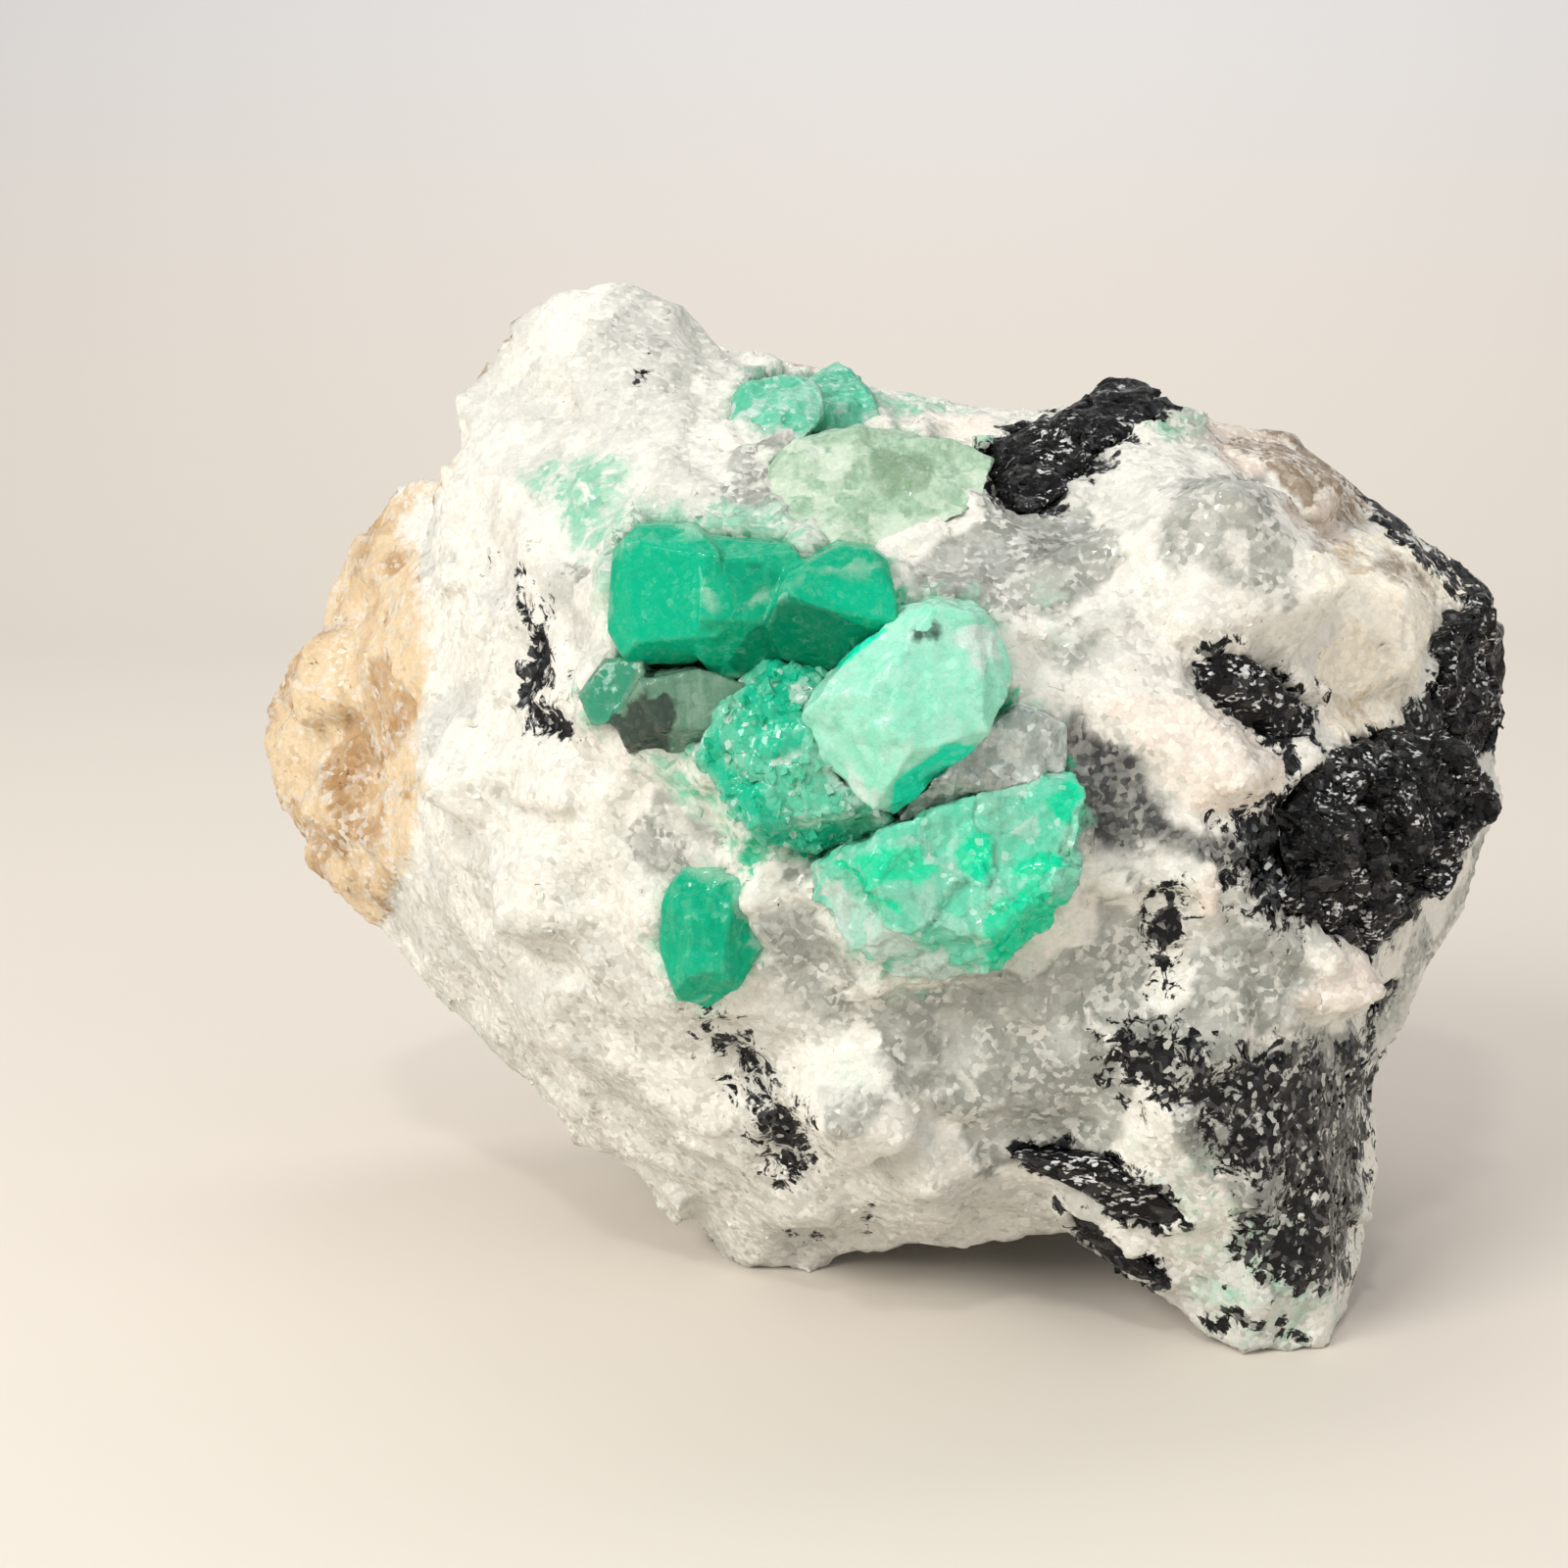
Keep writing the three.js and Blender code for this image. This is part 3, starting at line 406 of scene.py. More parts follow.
# Signed distance to an outline in pixels, positive inside
def outlineDistance(pixels, outline):
    corners = np.array(outline, float)
    nearest = np.full(len(pixels), np.inf)
    inside = np.zeros(len(pixels), bool)
    for start, end in zip(corners, np.roll(corners, -1, 0)):
        side = end - start
        along = np.clip((pixels - start) @ side / (side @ side), 0, 1)
        gap = pixels - start - along[:, None] * side
        nearest = np.minimum(nearest, np.hypot(gap[:, 0], gap[:, 1]))
        spans = (start[1] > pixels[:, 1]) != (end[1] > pixels[:, 1])
        rise = side[1] if side[1] else 1
        inside ^= spans & (pixels[:, 0] < start[0] + side[0] * (pixels[:, 1] - start[1]) / rise)
    return np.where(inside, nearest, -nearest)


def smooth(values, low, high):
    share = np.clip((values - low) / (high - low), 0, 1)
    return share * share * (3 - 2 * share)


def noiseAt(points, size, octaves=3, seed=0):
    start = Vector((seed * 17.3, seed * 5.1, seed * 9.7))
    return np.array([noise.fractal(Vector(p) / size + start, 1, 2, octaves) for p in points])


def warpAt(points, size, seed):
    start = Vector((seed * 3.1, 40, seed * 1.7))
    return np.array([noise.turbulence_vector(Vector(p) / size + start, 3, False) for p in points])


# Weights of each finish at the points, seen from the photo's side
def frontFinishes(points, normals, edge):
    pixels, pixelsPerMm, toEye = seenAt(points)
    fine, broad = wanderSizes
    for axis in (0, 1):
        wander = noiseAt(points, fine, 3, 3 + axis) + 1.4 * noiseAt(points, broad, 2, 5 + axis)
        pixels[:, axis] += wander * edge["wander"] * pixelsPerMm
    front = smooth((normals * toEye).sum(1), *frontEdge)
    covers = {}
    lifts = np.zeros(len(points))
    for finish, patches in zones.items():
        cover = np.zeros(len(points))
        for zone in patches.values():
            gap = outlineDistance(pixels, zone["outline"]) / pixelsPerMm
            inside = np.clip(0.5 + gap / (2 * edge["reach"]), 0, 1)
            cover = np.maximum(cover, inside * zone.get("strength", 1))
            lifts += smooth(gap, *liftEdge) * front * zone.get("lift", 0)
        covers[finish] = cover
    return covers, lifts, front


# A fine copy of a CAD node: corners merged, surface cut to an even grid
def fineCopy(name, node, voxel):
    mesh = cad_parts[node].data.copy()
    mesh.materials.clear()
    bm = bmesh.new()
    bm.from_mesh(mesh)
    bmesh.ops.remove_doubles(bm, verts=bm.verts, dist=mergeDistance)
    bm.to_mesh(mesh)
    bm.free()
    piece = bpy.data.objects.new(name, mesh)
    bpy.context.scene.collection.objects.link(piece)
    grid = piece.modifiers.new("grid", "REMESH")
    grid.mode = "VOXEL"
    grid.voxel_size = voxel * mm
    fine = bpy.data.meshes.new_from_object(piece.evaluated_get(bpy.context.evaluated_depsgraph_get()))
    piece.modifiers.clear()
    piece.data = fine
    fine.name = name
    dropCrumbs(fine)
    fine.shade_smooth()
    return piece


# Deletes all but the largest connected part
def dropCrumbs(mesh):
    bm = bmesh.new()
    bm.from_mesh(mesh)
    parts = []
    left = set(bm.verts)
    while left:
        part = set()
        edge = [left.pop()]
        while edge:
            vert = edge.pop()
            part.add(vert)
            near = {link.other_vert(vert) for link in vert.link_edges} & left
            left -= near
            edge.extend(near)
        parts.append(part)
    parts.sort(key=len)
    bmesh.ops.delete(bm, geom=[vert for part in parts[:-1] for vert in part], context="VERTS")
    bm.to_mesh(mesh)
    bm.free()


def pointsOf(mesh):
    points = np.empty(len(mesh.vertices) * 3, np.float32)
    mesh.vertices.foreach_get("co", points)
    return points.reshape(-1, 3).astype(float) / mm


def normalsOf(mesh):
    normals = np.empty(len(mesh.vertices) * 3, np.float32)
    mesh.vertex_normals.foreach_get("vector", normals)
    return normals.reshape(-1, 3).astype(float)


def setPoints(mesh, points):
    mesh.vertices.foreach_set("co", (points * mm).astype(np.float32).ravel())
    mesh.update()


def setCover(mesh, name, values):
    cover = mesh.attributes.new(name, "FLOAT", "POINT")
    cover.data.foreach_set("value", values.astype(np.float32))


# How the cells below are bent, tilted and told apart
cellMix = {"seedStep": 7.7, "bendScale": 1.3, "bend": 0.22, "tiltScale": 31.7, "slope": 1.6,
           "levelScale": 53.1, "toneScale": 57}


# Broken facets: each cell of the stone has one plane tilted its own way (heights about -1 to 1),
# a tone from 0 to 1, and a seam that rises from 0 at its border
def cellsAt(points, size, seed, stretch=None):
    places = points @ stretch.T / size if stretch is not None else points / size
    heights, tones, seams = np.empty((3, len(points)))
    for index, place in enumerate(places + seed * cellMix["seedStep"]):
        place = Vector(place)
        place += noise.turbulence_vector(place * cellMix["bendScale"], 2, False) * cellMix["bend"]
        gaps, cells = noise.voronoi(place)
        tilt = noise.noise_vector(cells[0] * cellMix["tiltScale"])
        level = noise.noise(cells[0] * cellMix["levelScale"])
        heights[index] = (place - cells[0]).dot(tilt) * cellMix["slope"] + level
        tones[index] = 0.5 + 0.5 * noise.cell(cells[0] * cellMix["toneScale"])
        seams[index] = gaps[1] - gaps[0]
    return heights, tones, seams


# Rounded bumps, 1 in the middle of each and 0 between them
def bumpHeights(points, size, seed):
    start = Vector((seed, 0, 0))
    gaps = np.array([noise.voronoi(Vector(p) / size + start)[0][0] for p in points])
    return 1 - np.minimum(1, gaps ** 2)


class Term:
    # a socket that takes part in sums, each of which adds a Math node
    def __init__(self, finish, socket):
        self.finish = finish
        self.socket = socket

    def __add__(self, other):
        return self.finish.math("ADD", self, other)

    def __sub__(self, other):
        return self.finish.math("SUBTRACT", self, other)

    def __rsub__(self, other):
        return self.finish.math("SUBTRACT", other, self)

    def __mul__(self, other):
        return self.finish.math("MULTIPLY", self, other)

    __radd__ = __add__
    __rmul__ = __mul__


def linear(channel):
    share = channel / 255
    return share / 12.92 if share <= 0.04045 else ((share + 0.055) / 1.055) ** 2.4


def colour(red, green, blue):
    return (linear(red), linear(green), linear(blue), 1)


class Finish:
    # one material and the calls that add its nodes
    def __init__(self, name):
        self.material = bpy.data.materials.new(name)
        self.material.use_nodes = True
        self.tree = self.material.node_tree
        self.tree.nodes.clear()
        self.place = self.scaled(self.node("TexCoord").outputs["Object"], 1 / mm)

    def node(self, kind, settings=None, inputs=None):
        made = self.tree.nodes.new("ShaderNode" + kind)
        for setting, value in (settings or {}).items():
            setattr(made, setting, value)
        for socket, value in (inputs or {}).items():
            source = value.socket if isinstance(value, Term) else value
            if isinstance(source, bpy.types.NodeSocket):
                self.tree.links.new(source, made.inputs[socket])
            else:
                made.inputs[socket].default_value = source
        return made

    def math(self, operation, *values):
        return Term(self, self.node("Math", {"operation": operation}, dict(enumerate(values))).outputs[0])

    def vector(self, operation, first, second):
        return self.node("VectorMath", {"operation": operation}, {0: first, 1: second})

    def scaled(self, place, factor):
        return self.node("VectorMath", {"operation": "SCALE"}, {0: place, "Scale": factor}).outputs[0]

    def ramp(self, value, low, high):
        limits = {"Value": value, "From Min": low, "From Max": high}
        return Term(self, self.node("MapRange", {"interpolation_type": "SMOOTHSTEP"}, limits).outputs[0])

    def blend(self, share, under, over, mode="MIX"):
        settings = {"data_type": "RGBA", "blend_type": mode}
        return self.node("Mix", settings, {0: share, 6: under, 7: over}).outputs[2]

    def stretched(self, lengths, turn=(0, 0, 0)):
        inputs = {"Vector": self.place, "Rotation": turn, "Scale": lengths}
        return self.node("Mapping", {"vector_type": "POINT"}, inputs).outputs[0]

    def noise(self, scale, detail=3, distortion=0, place=None, roughness=0.55):
        inputs = {"Vector": place or self.place, "Scale": scale, "Detail": detail, "Roughness": roughness,
                  "Distortion": distortion}
        return Term(self, self.node("TexNoise", None, inputs).outputs[0])

    # small flat facets, each tilted its own way: their heights, and a tone from 0 to 1 for each
    def facets(self, scale, place=None):
        spot = self.scaled(place or self.place, scale)
        cells = self.node("TexVoronoi", None, {"Vector": spot, "Scale": 1})
        gap = self.vector("SUBTRACT", spot, cells.outputs["Position"]).outputs[0]
        tilt = self.vector("SUBTRACT", cells.outputs["Color"], (0.5, 0.5, 0.5)).outputs[0]
        height = self.vector("DOT_PRODUCT", gap, tilt).outputs[1]
        tone = self.node("SeparateColor", None, {0: cells.outputs["Color"]}).outputs[0]
        return Term(self, height), Term(self, tone)

    # thin wandering lines, 1 on the line
    def veins(self, noise, width):
        return 1 - self.ramp(self.math("ABSOLUTE", noise - 0.5), 0, width)

    def share(self, name):
        return Term(self, self.node("Attribute", {"attribute_name": name}).outputs["Fac"])

    def cover(self, name, wander, low=0.35, high=0.65, reach=0.5):
        return self.ramp(self.share(name) + (wander - 0.5) * reach, low, high)

    def bump(self, height, depth, under=None):
        inputs = {"Strength": 1, "Distance": depth * mm, "Height": height}
        if under is not None:
            inputs["Normal"] = under
        return self.node("Bump", None, inputs).outputs[0]

    def close(self, surface, absorption=None):
        shader = self.node("BsdfPrincipled", None, surface).outputs[0]
        ends = {"Surface": shader}
        if absorption:
            ends["Volume"] = self.node("VolumeAbsorption", None, absorption).outputs[0]
        self.node("OutputMaterial", None, ends)
        return self.material


# The stone itself
stone = {
    "voxel": 0.41,
    "blocks": (4.0, 0.32),  # cell size and height, mm
    "grains": (1.5, 0.12),
    "swell": (5.5, 0.2),
    "grit": (0.8, 0.05),
    "stainBumps": (2.4, 0.55),
    "glassyCalm": 0.75,  # share of the relief that glassy parts lose
    "chips": (3.2, 0.22),  # small facets in the finish: how many to the mm, and depth in mm
    "ior": 1.54,
    "gloss": 0.22,
    "coatRoughness": 0.1,
    "tones": {
        "white": (237, 234, 223),
        "shade": (215, 214, 204),
        "grey": (148, 150, 141),
        "dusk": (66, 67, 67),
        "mint": (142, 202, 172),
        "green": (0, 190, 142),
        "cream": (255, 246, 226),
        "creamDark": (216, 198, 168),
        "blush": (247, 232, 217),
        "stain": (228, 203, 164),
        "stainDark": (180, 142, 98),
        "smoke": (158, 140, 118),
        "mica": (8, 9, 10),
        "pepper": (58, 60, 62),
    },
}

heart = (0, 0, 25)  # middle of the stone, mm


# Finishes on the sides that the photo doesn't show: patch size in mm, how much of the side they
# leave bare, and how they lean to one side of the stone
hiddenPatches = {
    "mica": {"size": 11, "bare": 0.4, "lean": (0.008, -0.004, 0)},
    "pepper": {"size": 9, "bare": 0.28, "lean": (0.008, 0, -0.006)},
    "stain": {"size": 14, "bare": 0.3, "lean": (-0.024, 0.006, 0)},
    "cream": {"size": 12, "bare": 0.24, "lean": (0.006, 0, 0.006)},
    "blush": {"size": 13, "bare": 0.3, "lean": (0, 0.004, 0)},
    "grey": {"size": 10, "bare": 0.02, "lean": (0.004, 0, 0)},
    "dusk": {"size": 8, "bare": 0.42, "lean": (0.004, 0, 0)},
    "smoke": {"size": 12, "bare": 0.38, "lean": (0.004, 0, 0.008)},
    "mint": {"size": 10, "bare": 0.3, "lean": (0, -0.004, 0.006)},
}
hiddenEdge = 2.2  # how sharply these patches end

stoneShares = (*hiddenPatches, "green", "blocks", "grains", "seams")


def stoneCovers(points, normals):
    covers, lifts, front = frontFinishes(points, normals, zoneEdge["stone"])
    middle = np.array(heart)
    for seed, (name, patch) in enumerate(hiddenPatches.items()):
        spread = noiseAt(points, patch["size"], 4, 20 + seed) + (points - middle) @ np.array(patch["lean"])
        hidden = np.clip(0.5 + (spread - patch["bare"]) * hiddenEdge, 0, 1)
        covers[name] = covers[name] * front + hidden * (1 - front)
    covers["green"] *= front
    return covers, lifts


# Stone that laps up around the crystals and closes on their sides and on the mica's, in mm
collar = {
    "reach": 2.8,
    "height": 0.55,
    "wall": 1.0,
    "patch": 1.2,
    "closing": {"crystal": 0.6, "mica": 0.4},
    "between": (0.5, 1.5),  # to the second nearest crystal of the cluster: the stone sinks here
    "sunk": 0.35,
    "crowded": (0.9, 2.4),  # to the second nearest of all crystals: the stone doesn't rise here
}
# green tint beside the crystals and black beside the mica, fading over this many mm
tints = {"mint": {"beside": "crystal", "reach": 1.8, "strength": 0.55, "patch": 3.0},
         "mica": {"beside": "mica", "reach": 1.9, "strength": 0.66, "patch": 1.5}}


def gapsTo(points, nodes):
    bm = bmesh.new()
    for node in nodes:
        bm.from_mesh(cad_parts[node].data)
    tree = BVHTree.FromBMesh(bm)
    bm.free()
    return np.array([tree.find_nearest(Vector(p) * mm)[3] for p in points]) / mm


# the crystals that grew into each other
cluster = ("emerald_main", "smoky_beryl", "emerald_core", "emerald_pale", "emerald_fan", "clear_quartz")


# How far each point lies between two crystals that nearly meet
def sharedGap(points, gap, nodes, limits):
    shared = np.zeros(len(points))
    near = np.flatnonzero(gap < limits[1])
    each = np.sort([gapsTo(points[near], [node]) for node in nodes], axis=0)
    shared[near] = 1 - smooth(each[1], *limits)
    return shared


def riseBeside(points, gap):
    uneven = noiseAt(points, collar["patch"], 3, 12)
    return (1 - smooth(gap, 0.4, collar["reach"])) * collar["height"] * smooth(uneven, -0.5, 0.4)


def closingOn(points, gaps):
    closing = np.zeros(len(points))
    for kind, most in collar["closing"].items():
        closing = np.maximum(closing, (1 - smooth(gaps[kind], 0.35, collar["wall"])) * most)
    return closing * (1 + noiseAt(points, collar["patch"], 3, 12))


def awayFromHeart(points):
    outward = points - np.array(heart)
    return outward / np.linalg.norm(outward, axis=1)[:, None]


def smoothRim(mesh, rim):
    bm = bmesh.new()
    bm.from_mesh(mesh)
    verts = [vert for vert, near in zip(bm.verts, rim) if near]
    bmesh.ops.smooth_vert(bm, verts=verts, factor=0.5, use_axis_x=True, use_axis_y=True, use_axis_z=True)
    bm.to_mesh(mesh)
    bm.free()


def makeStone():
    piece = fineCopy("quartzMatrix", "quartz_matrix", stone["voxel"])
    mesh = piece.data
    points = pointsOf(mesh)
    normals = normalsOf(mesh)
    covers, lifts = stoneCovers(points, normals)
    glassy = np.clip(covers["grey"] + covers["dusk"] + covers["smoke"], 0, 1)
    rough = 1 - stone["glassyCalm"] * smooth(glassy, 0.3, 0.8)
    heights = np.zeros(len(points))
    for seed, name in enumerate(("blocks", "grains")):
        size, height = stone[name]
        relief, covers[name], seams = cellsAt(points, size, 1 + seed)
        heights += relief * height * rough
        covers["seams"] = np.minimum(covers.get("seams", 1), seams)
    size, height = stone["swell"]
    heights += noiseAt(points, size, 2, 8) * height
    size, height = stone["grit"]
    heights += noiseAt(points, size, 3, 9) * height * rough
    size, height = stone["stainBumps"]
    heights += bumpHeights(points, size, 3) * height * smooth(covers["stain"], 0.3, 0.7)
    gaps = {"crystal": gapsTo(points, crystals), "mica": gapsTo(points, mica["nodes"])}
    for seed, (name, tint) in enumerate(tints.items()):
        patchy = smooth(noiseAt(points, tint["patch"], 2, 50 + seed), -0.35, 0.15)
        beside = (1 - smooth(gaps[tint["beside"]], 0.2, tint["reach"])) * patchy * tint["strength"]
        covers[name] = np.maximum(covers[name], beside)
    shared = sharedGap(points, gaps["crystal"], cluster, collar["between"])
    crowded = sharedGap(points, gaps["crystal"], crystals, collar["crowded"])
    covers["green"] = np.maximum(covers["green"], shared)
    lifts += riseBeside(points, gaps["crystal"]) * (1 - crowded) - collar["sunk"] * shared
    heights += closingOn(points, gaps) * (1 - shared)
    points = points + normals * heights[:, None] + awayFromHeart(points) * lifts[:, None]
    points[:, 2] = np.maximum(points[:, 2], 0)
    setPoints(mesh, points)
    smoothRim(mesh, gaps["crystal"] < collar["reach"])
    for name in stoneShares:
        setCover(mesh, name, covers[name])
    mesh.materials.append(stoneFinish())
    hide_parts("quartz_matrix")
    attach(piece, "root")
    print("stone:", len(mesh.polygons), "faces")
    return piece, covers, gaps


def stoneFinish():
    finish = Finish("brokenQuartz")
    tone = {name: colour(*value) for name, value in stone["tones"].items()}
    blocks = finish.share("blocks")
    grains = finish.share("grains")
    broad = finish.noise(0.2, 2)
    fine = finish.noise(1.6, 4)
    flecks = finish.noise(1.1, 5, 0.8, None, 0.68)
    swirl = finish.noise(0.5, 3, 2.2)
    chipScale, chipDepth = stone["chips"]
    chips, chipTone = finish.facets(chipScale)
    mosaic = blocks * 0.55 + grains * 0.25 + fine * 0.2
    grey = finish.cover("grey", mosaic, 0.36, 0.56, 0.8)
    dusk = finish.cover("dusk", fine * 0.5 + mosaic * 0.5, 0.34, 0.72, 0.6)
    mint = finish.cover("mint", swirl * 0.7 + grains * 0.3, 0.2, 0.75, 0.9)
    cream = finish.cover("cream", fine, 0.4, 0.6)
    blush = finish.cover("blush", fine, 0.42, 0.58)
    stain = finish.cover("stain", fine, 0.38, 0.64)
    smoke = finish.cover("smoke", fine * 0.5 + blocks * 0.5, 0.36, 0.6)
    pepper = finish.cover("pepper", flecks, 0.5, 0.66, 2.8)
    mica = finish.cover("mica", flecks, 0.46, 0.54, 1.1)
    sugar = finish.ramp(chipTone * 0.5 + fine * 0.5, 0.42, 0.62)
    base = finish.blend(finish.ramp(mosaic * 0.75 + broad * 0.5, 0.58, 0.74), tone["white"], tone["shade"])
    clear = finish.ramp(grains * 0.6 + fine * 0.4, 0.35, 0.8) * 0.4
    glass = finish.blend(clear, tone["grey"], tone["shade"])
    base = finish.blend(grey, base, glass)
    darkGlass = finish.blend(finish.ramp(fine, 0.42, 0.7) * 0.45, tone["dusk"], tone["grey"])
    base = finish.blend(dusk, base, darkGlass)
    base = finish.blend(mint * finish.ramp(swirl, 0.3, 0.55), base, tone["mint"])
    base = finish.blend(finish.cover("green", swirl, 0.35, 0.65, 0.8), base, tone["green"])
    dull = finish.ramp(mosaic * 0.6 + flecks * 0.4, 0.5, 0.62)
    feldspar = finish.blend(dull, tone["cream"], tone["creamDark"])
    feldspar = finish.blend(finish.ramp(flecks, 0.54, 0.64) * 0.8, feldspar, tone["white"])
    base = finish.blend(cream, base, feldspar)
    base = finish.blend(blush, base, finish.blend(grains * 0.5, tone["blush"], tone["white"]))
    rust = finish.ramp(broad * 0.7 + mosaic * 0.5, 0.5, 0.78)
    base = finish.blend(stain, base, finish.blend(rust, tone["stain"], tone["stainDark"]))
    brown = finish.blend(finish.ramp(mosaic, 0.4, 0.75) * 0.7, tone["smoke"], tone["blush"])
    base = finish.blend(smoke, base, brown)
    frost = (1 - finish.ramp(finish.share("seams"), 0.02, 0.14)) * sugar * (1 - 0.7 * dusk)
    base = finish.blend(frost * 0.55, base, tone["white"])
    soot = finish.blend(finish.ramp(chipTone, 0.5, 1), tone["mica"], tone["pepper"])
    dark = finish.math("MAXIMUM", pepper, mica)
    base = finish.blend(dark, base, soot)
    base = finish.blend(sugar * (0.16 * (1 - dark)), base, tone["shade"])
    # light flecks in the black patches: white quartz grains, partly painted glints
    base = finish.blend(finish.ramp(chipTone, 0.9, 0.96) * dark * 0.6, base, tone["shade"])
    glassy = finish.math("MINIMUM", grey + dusk + smoke, 1)
    roughness = 0.5 - 0.24 * glassy + (chipTone - 0.5) * 0.4 - 0.1 * dark
    calm = 1 - 0.6 * finish.share("grey")
    return finish.close({
        "Base Color": base,
        "Roughness": roughness,
        "Coat Weight": finish.ramp(chipTone, 0.74, 0.8) * (0.35 + 0.55 * glassy),
        "Normal": finish.bump(chips * calm, chipDepth),
        "Coat Roughness": stone["coatRoughness"],
        "Coat IOR": stone["ior"],
        "IOR": stone["ior"],
        "Specular IOR Level": stone["gloss"],
    })


# Green, smoky and clear crystals
crystalFinishes = {
    "emerald": {
        "body": (0, 188, 140), "vivid": (0, 198, 149), "deep": (0, 144, 106), "veil": (150, 214, 184),
        "milk": (4, 198, 150), "milkiness": 0.5, "veins": 0.35, "patches": 0.15, "specksAndGlints": 0.03,
        "edges": 0.3, "streaks": 0.16, "gloss": 0.04, "shine": 0.2,
        "bump": 0.05, "roughness": 0.22, "transmission": 0.25, "density": 40, "tint": (0.05, 0.9, 0.65),
    },
    "grainyEmerald": {
        "body": (96, 216, 176), "vivid": (24, 204, 158), "deep": (0, 172, 128), "veil": (216, 240, 228),
        "milk": (140, 224, 190), "milkiness": 0.8, "veins": 0.1, "patches": 0.15, "specksAndGlints": 0.5,
        "edges": 0.4, "streaks": 0.1, "gloss": 0.14, "shine": 0.7,
        "bump": 0.16, "roughness": 0.24, "transmission": 0.25, "density": 20, "tint": (0.3, 0.92, 0.75),
    },
    "paleEmerald": {
        "body": (160, 248, 214), "vivid": (6, 206, 154), "deep": (24, 250, 202), "veil": (226, 250, 236),
        "milk": (194, 252, 228), "milkiness": 0.8, "veins": 0.1, "patches": 0.12, "specksAndGlints": 0.1,
        "edges": 0.5, "streaks": 0.12, "gloss": 0.14, "shine": 0.6,
        "bump": 0.07, "roughness": 0.26, "transmission": 0.25, "density": 15, "tint": (0.5, 0.95, 0.85),
    },
    "fanEmerald": {
        "body": (112, 234, 194), "vivid": (0, 236, 176), "deep": (0, 160, 120), "veil": (212, 238, 224),
        "milk": (168, 230, 204), "milkiness": 0.75, "veins": 0.1, "patches": 0.15, "specksAndGlints": 0.35,
        "edges": 0.5, "streaks": 0.15, "gloss": 0.12, "shine": 0.7,
        "bump": 0.14, "roughness": 0.24, "transmission": 0.25, "density": 15, "tint": (0.5, 0.95, 0.85),
    },
    "paleBeryl": {
        "body": (162, 196, 166), "vivid": (150, 204, 170), "deep": (136, 166, 134), "veil": (210, 226, 204),
        "milk": (186, 212, 186), "milkiness": 0.8, "veins": 0.3, "patches": 0.3, "specksAndGlints": 0.2,
        "edges": 0.4, "streaks": 0.5, "gloss": 0.14, "shine": 0.3,
        "bump": 0.12, "roughness": 0.36, "transmission": 0.1, "density": 10, "tint": (0.7, 0.95, 0.85),
    },
    "smokyBeryl": {
        "body": (116, 162, 134), "vivid": (66, 166, 130), "deep": (56, 76, 66), "veil": (196, 218, 204),
        "milk": (136, 180, 152), "milkiness": 0.5, "veins": 0.3, "patches": 0.3, "specksAndGlints": 0.1,
        "edges": 0.3, "streaks": 0.2, "gloss": 0.16, "shine": 0.4,
        "bump": 0.06, "roughness": 0.16, "transmission": 0.3, "density": 15, "tint": (0.6, 0.85, 0.72),
    },
    "clearQuartz": {
        "body": (180, 192, 182), "vivid": (160, 186, 172), "deep": (140, 148, 140), "veil": (244, 248, 242),
        "milk": (206, 214, 206), "milkiness": 0.8, "veins": 0.3, "patches": 0.5, "specksAndGlints": 0.6,
        "edges": 0.6, "streaks": 0.2, "gloss": 0.2, "shine": 0.9,
        "bump": 0.3, "roughness": 0.16, "transmission": 0.2, "density": 5, "tint": (0.9, 0.94, 0.92),
    },
}
crystalCovers = ("vivid", "deep", "veil", "soot")
crystalShares = (*crystalCovers, "blocks", "grains", "edges")

crystals = {
    "emerald_main": {
        "name": "emeraldMain", "finish": "emerald", "slot": "emerald",
        "relief": 0.02, "warp": 0.05, "margin": 0.5,
    },
    "emerald_drop": {
        "name": "emeraldDrop", "finish": "emerald", "slot": "emerald",
        "relief": 0.1, "warp": 0.25, "margin": 0.5,
    },
    "emerald_crown": {
        "name": "emeraldCrown", "finish": "grainyEmerald", "slot": "emerald",
        "relief": 0.14, "warp": 0.3, "margin": 0.5,
    },
    "emerald_core": {
        "name": "emeraldCore", "finish": "grainyEmerald", "slot": "pale_emerald",
        "relief": 0.2, "warp": 0.5, "margin": 0.6,
    },
    "emerald_pale": {
        "name": "emeraldPale", "finish": "paleEmerald", "slot": "pale_emerald",
        "relief": 0.08, "warp": 0.25, "margin": 0.5,
    },
    "emerald_fan": {
        "name": "emeraldFan", "finish": "fanEmerald", "slot": "pale_emerald",
        "relief": 0.25, "warp": 0.4, "margin": 0.65,
    },
    "beryl_band": {
        "name": "berylBand", "finish": "paleBeryl", "slot": "pale_beryl",
        "relief": 0.1, "warp": 0.3, "margin": 0.6,
    },
    "smoky_beryl": {
        "name": "smokyBeryl", "finish": "smokyBeryl", "slot": "smoky_beryl",
        "relief": 0.06, "warp": 0.2, "margin": 0.2, "swell": 0.7,
    },
    "clear_quartz": {
        "name": "clearQuartz", "finish": "clearQuartz", "slot": "clear_quartz",
        "relief": 0.12, "warp": 0.3, "margin": 0.6,
    },
}
crystalBuild = {
    "voxel": 0.14,
    "swell": 0.35,
    "blocks": 2.4,
    "grains": 0.9,
    "warpSize": 2.0,
    "edgeRounds": 3,
    "edge": (0.004, 0.02),  # mm above the points around, from flat to sharp
    "margin": 1.0,  # mm from the stone over which crystals are frosted
    "chips": 3.4,  # small facets to the mm in the finish
    "ior": 1.58,
    "coatRoughness": 0.06,
    "paintedSparkle": (236, 246, 240),
    "soot": (38, 46, 42),
}


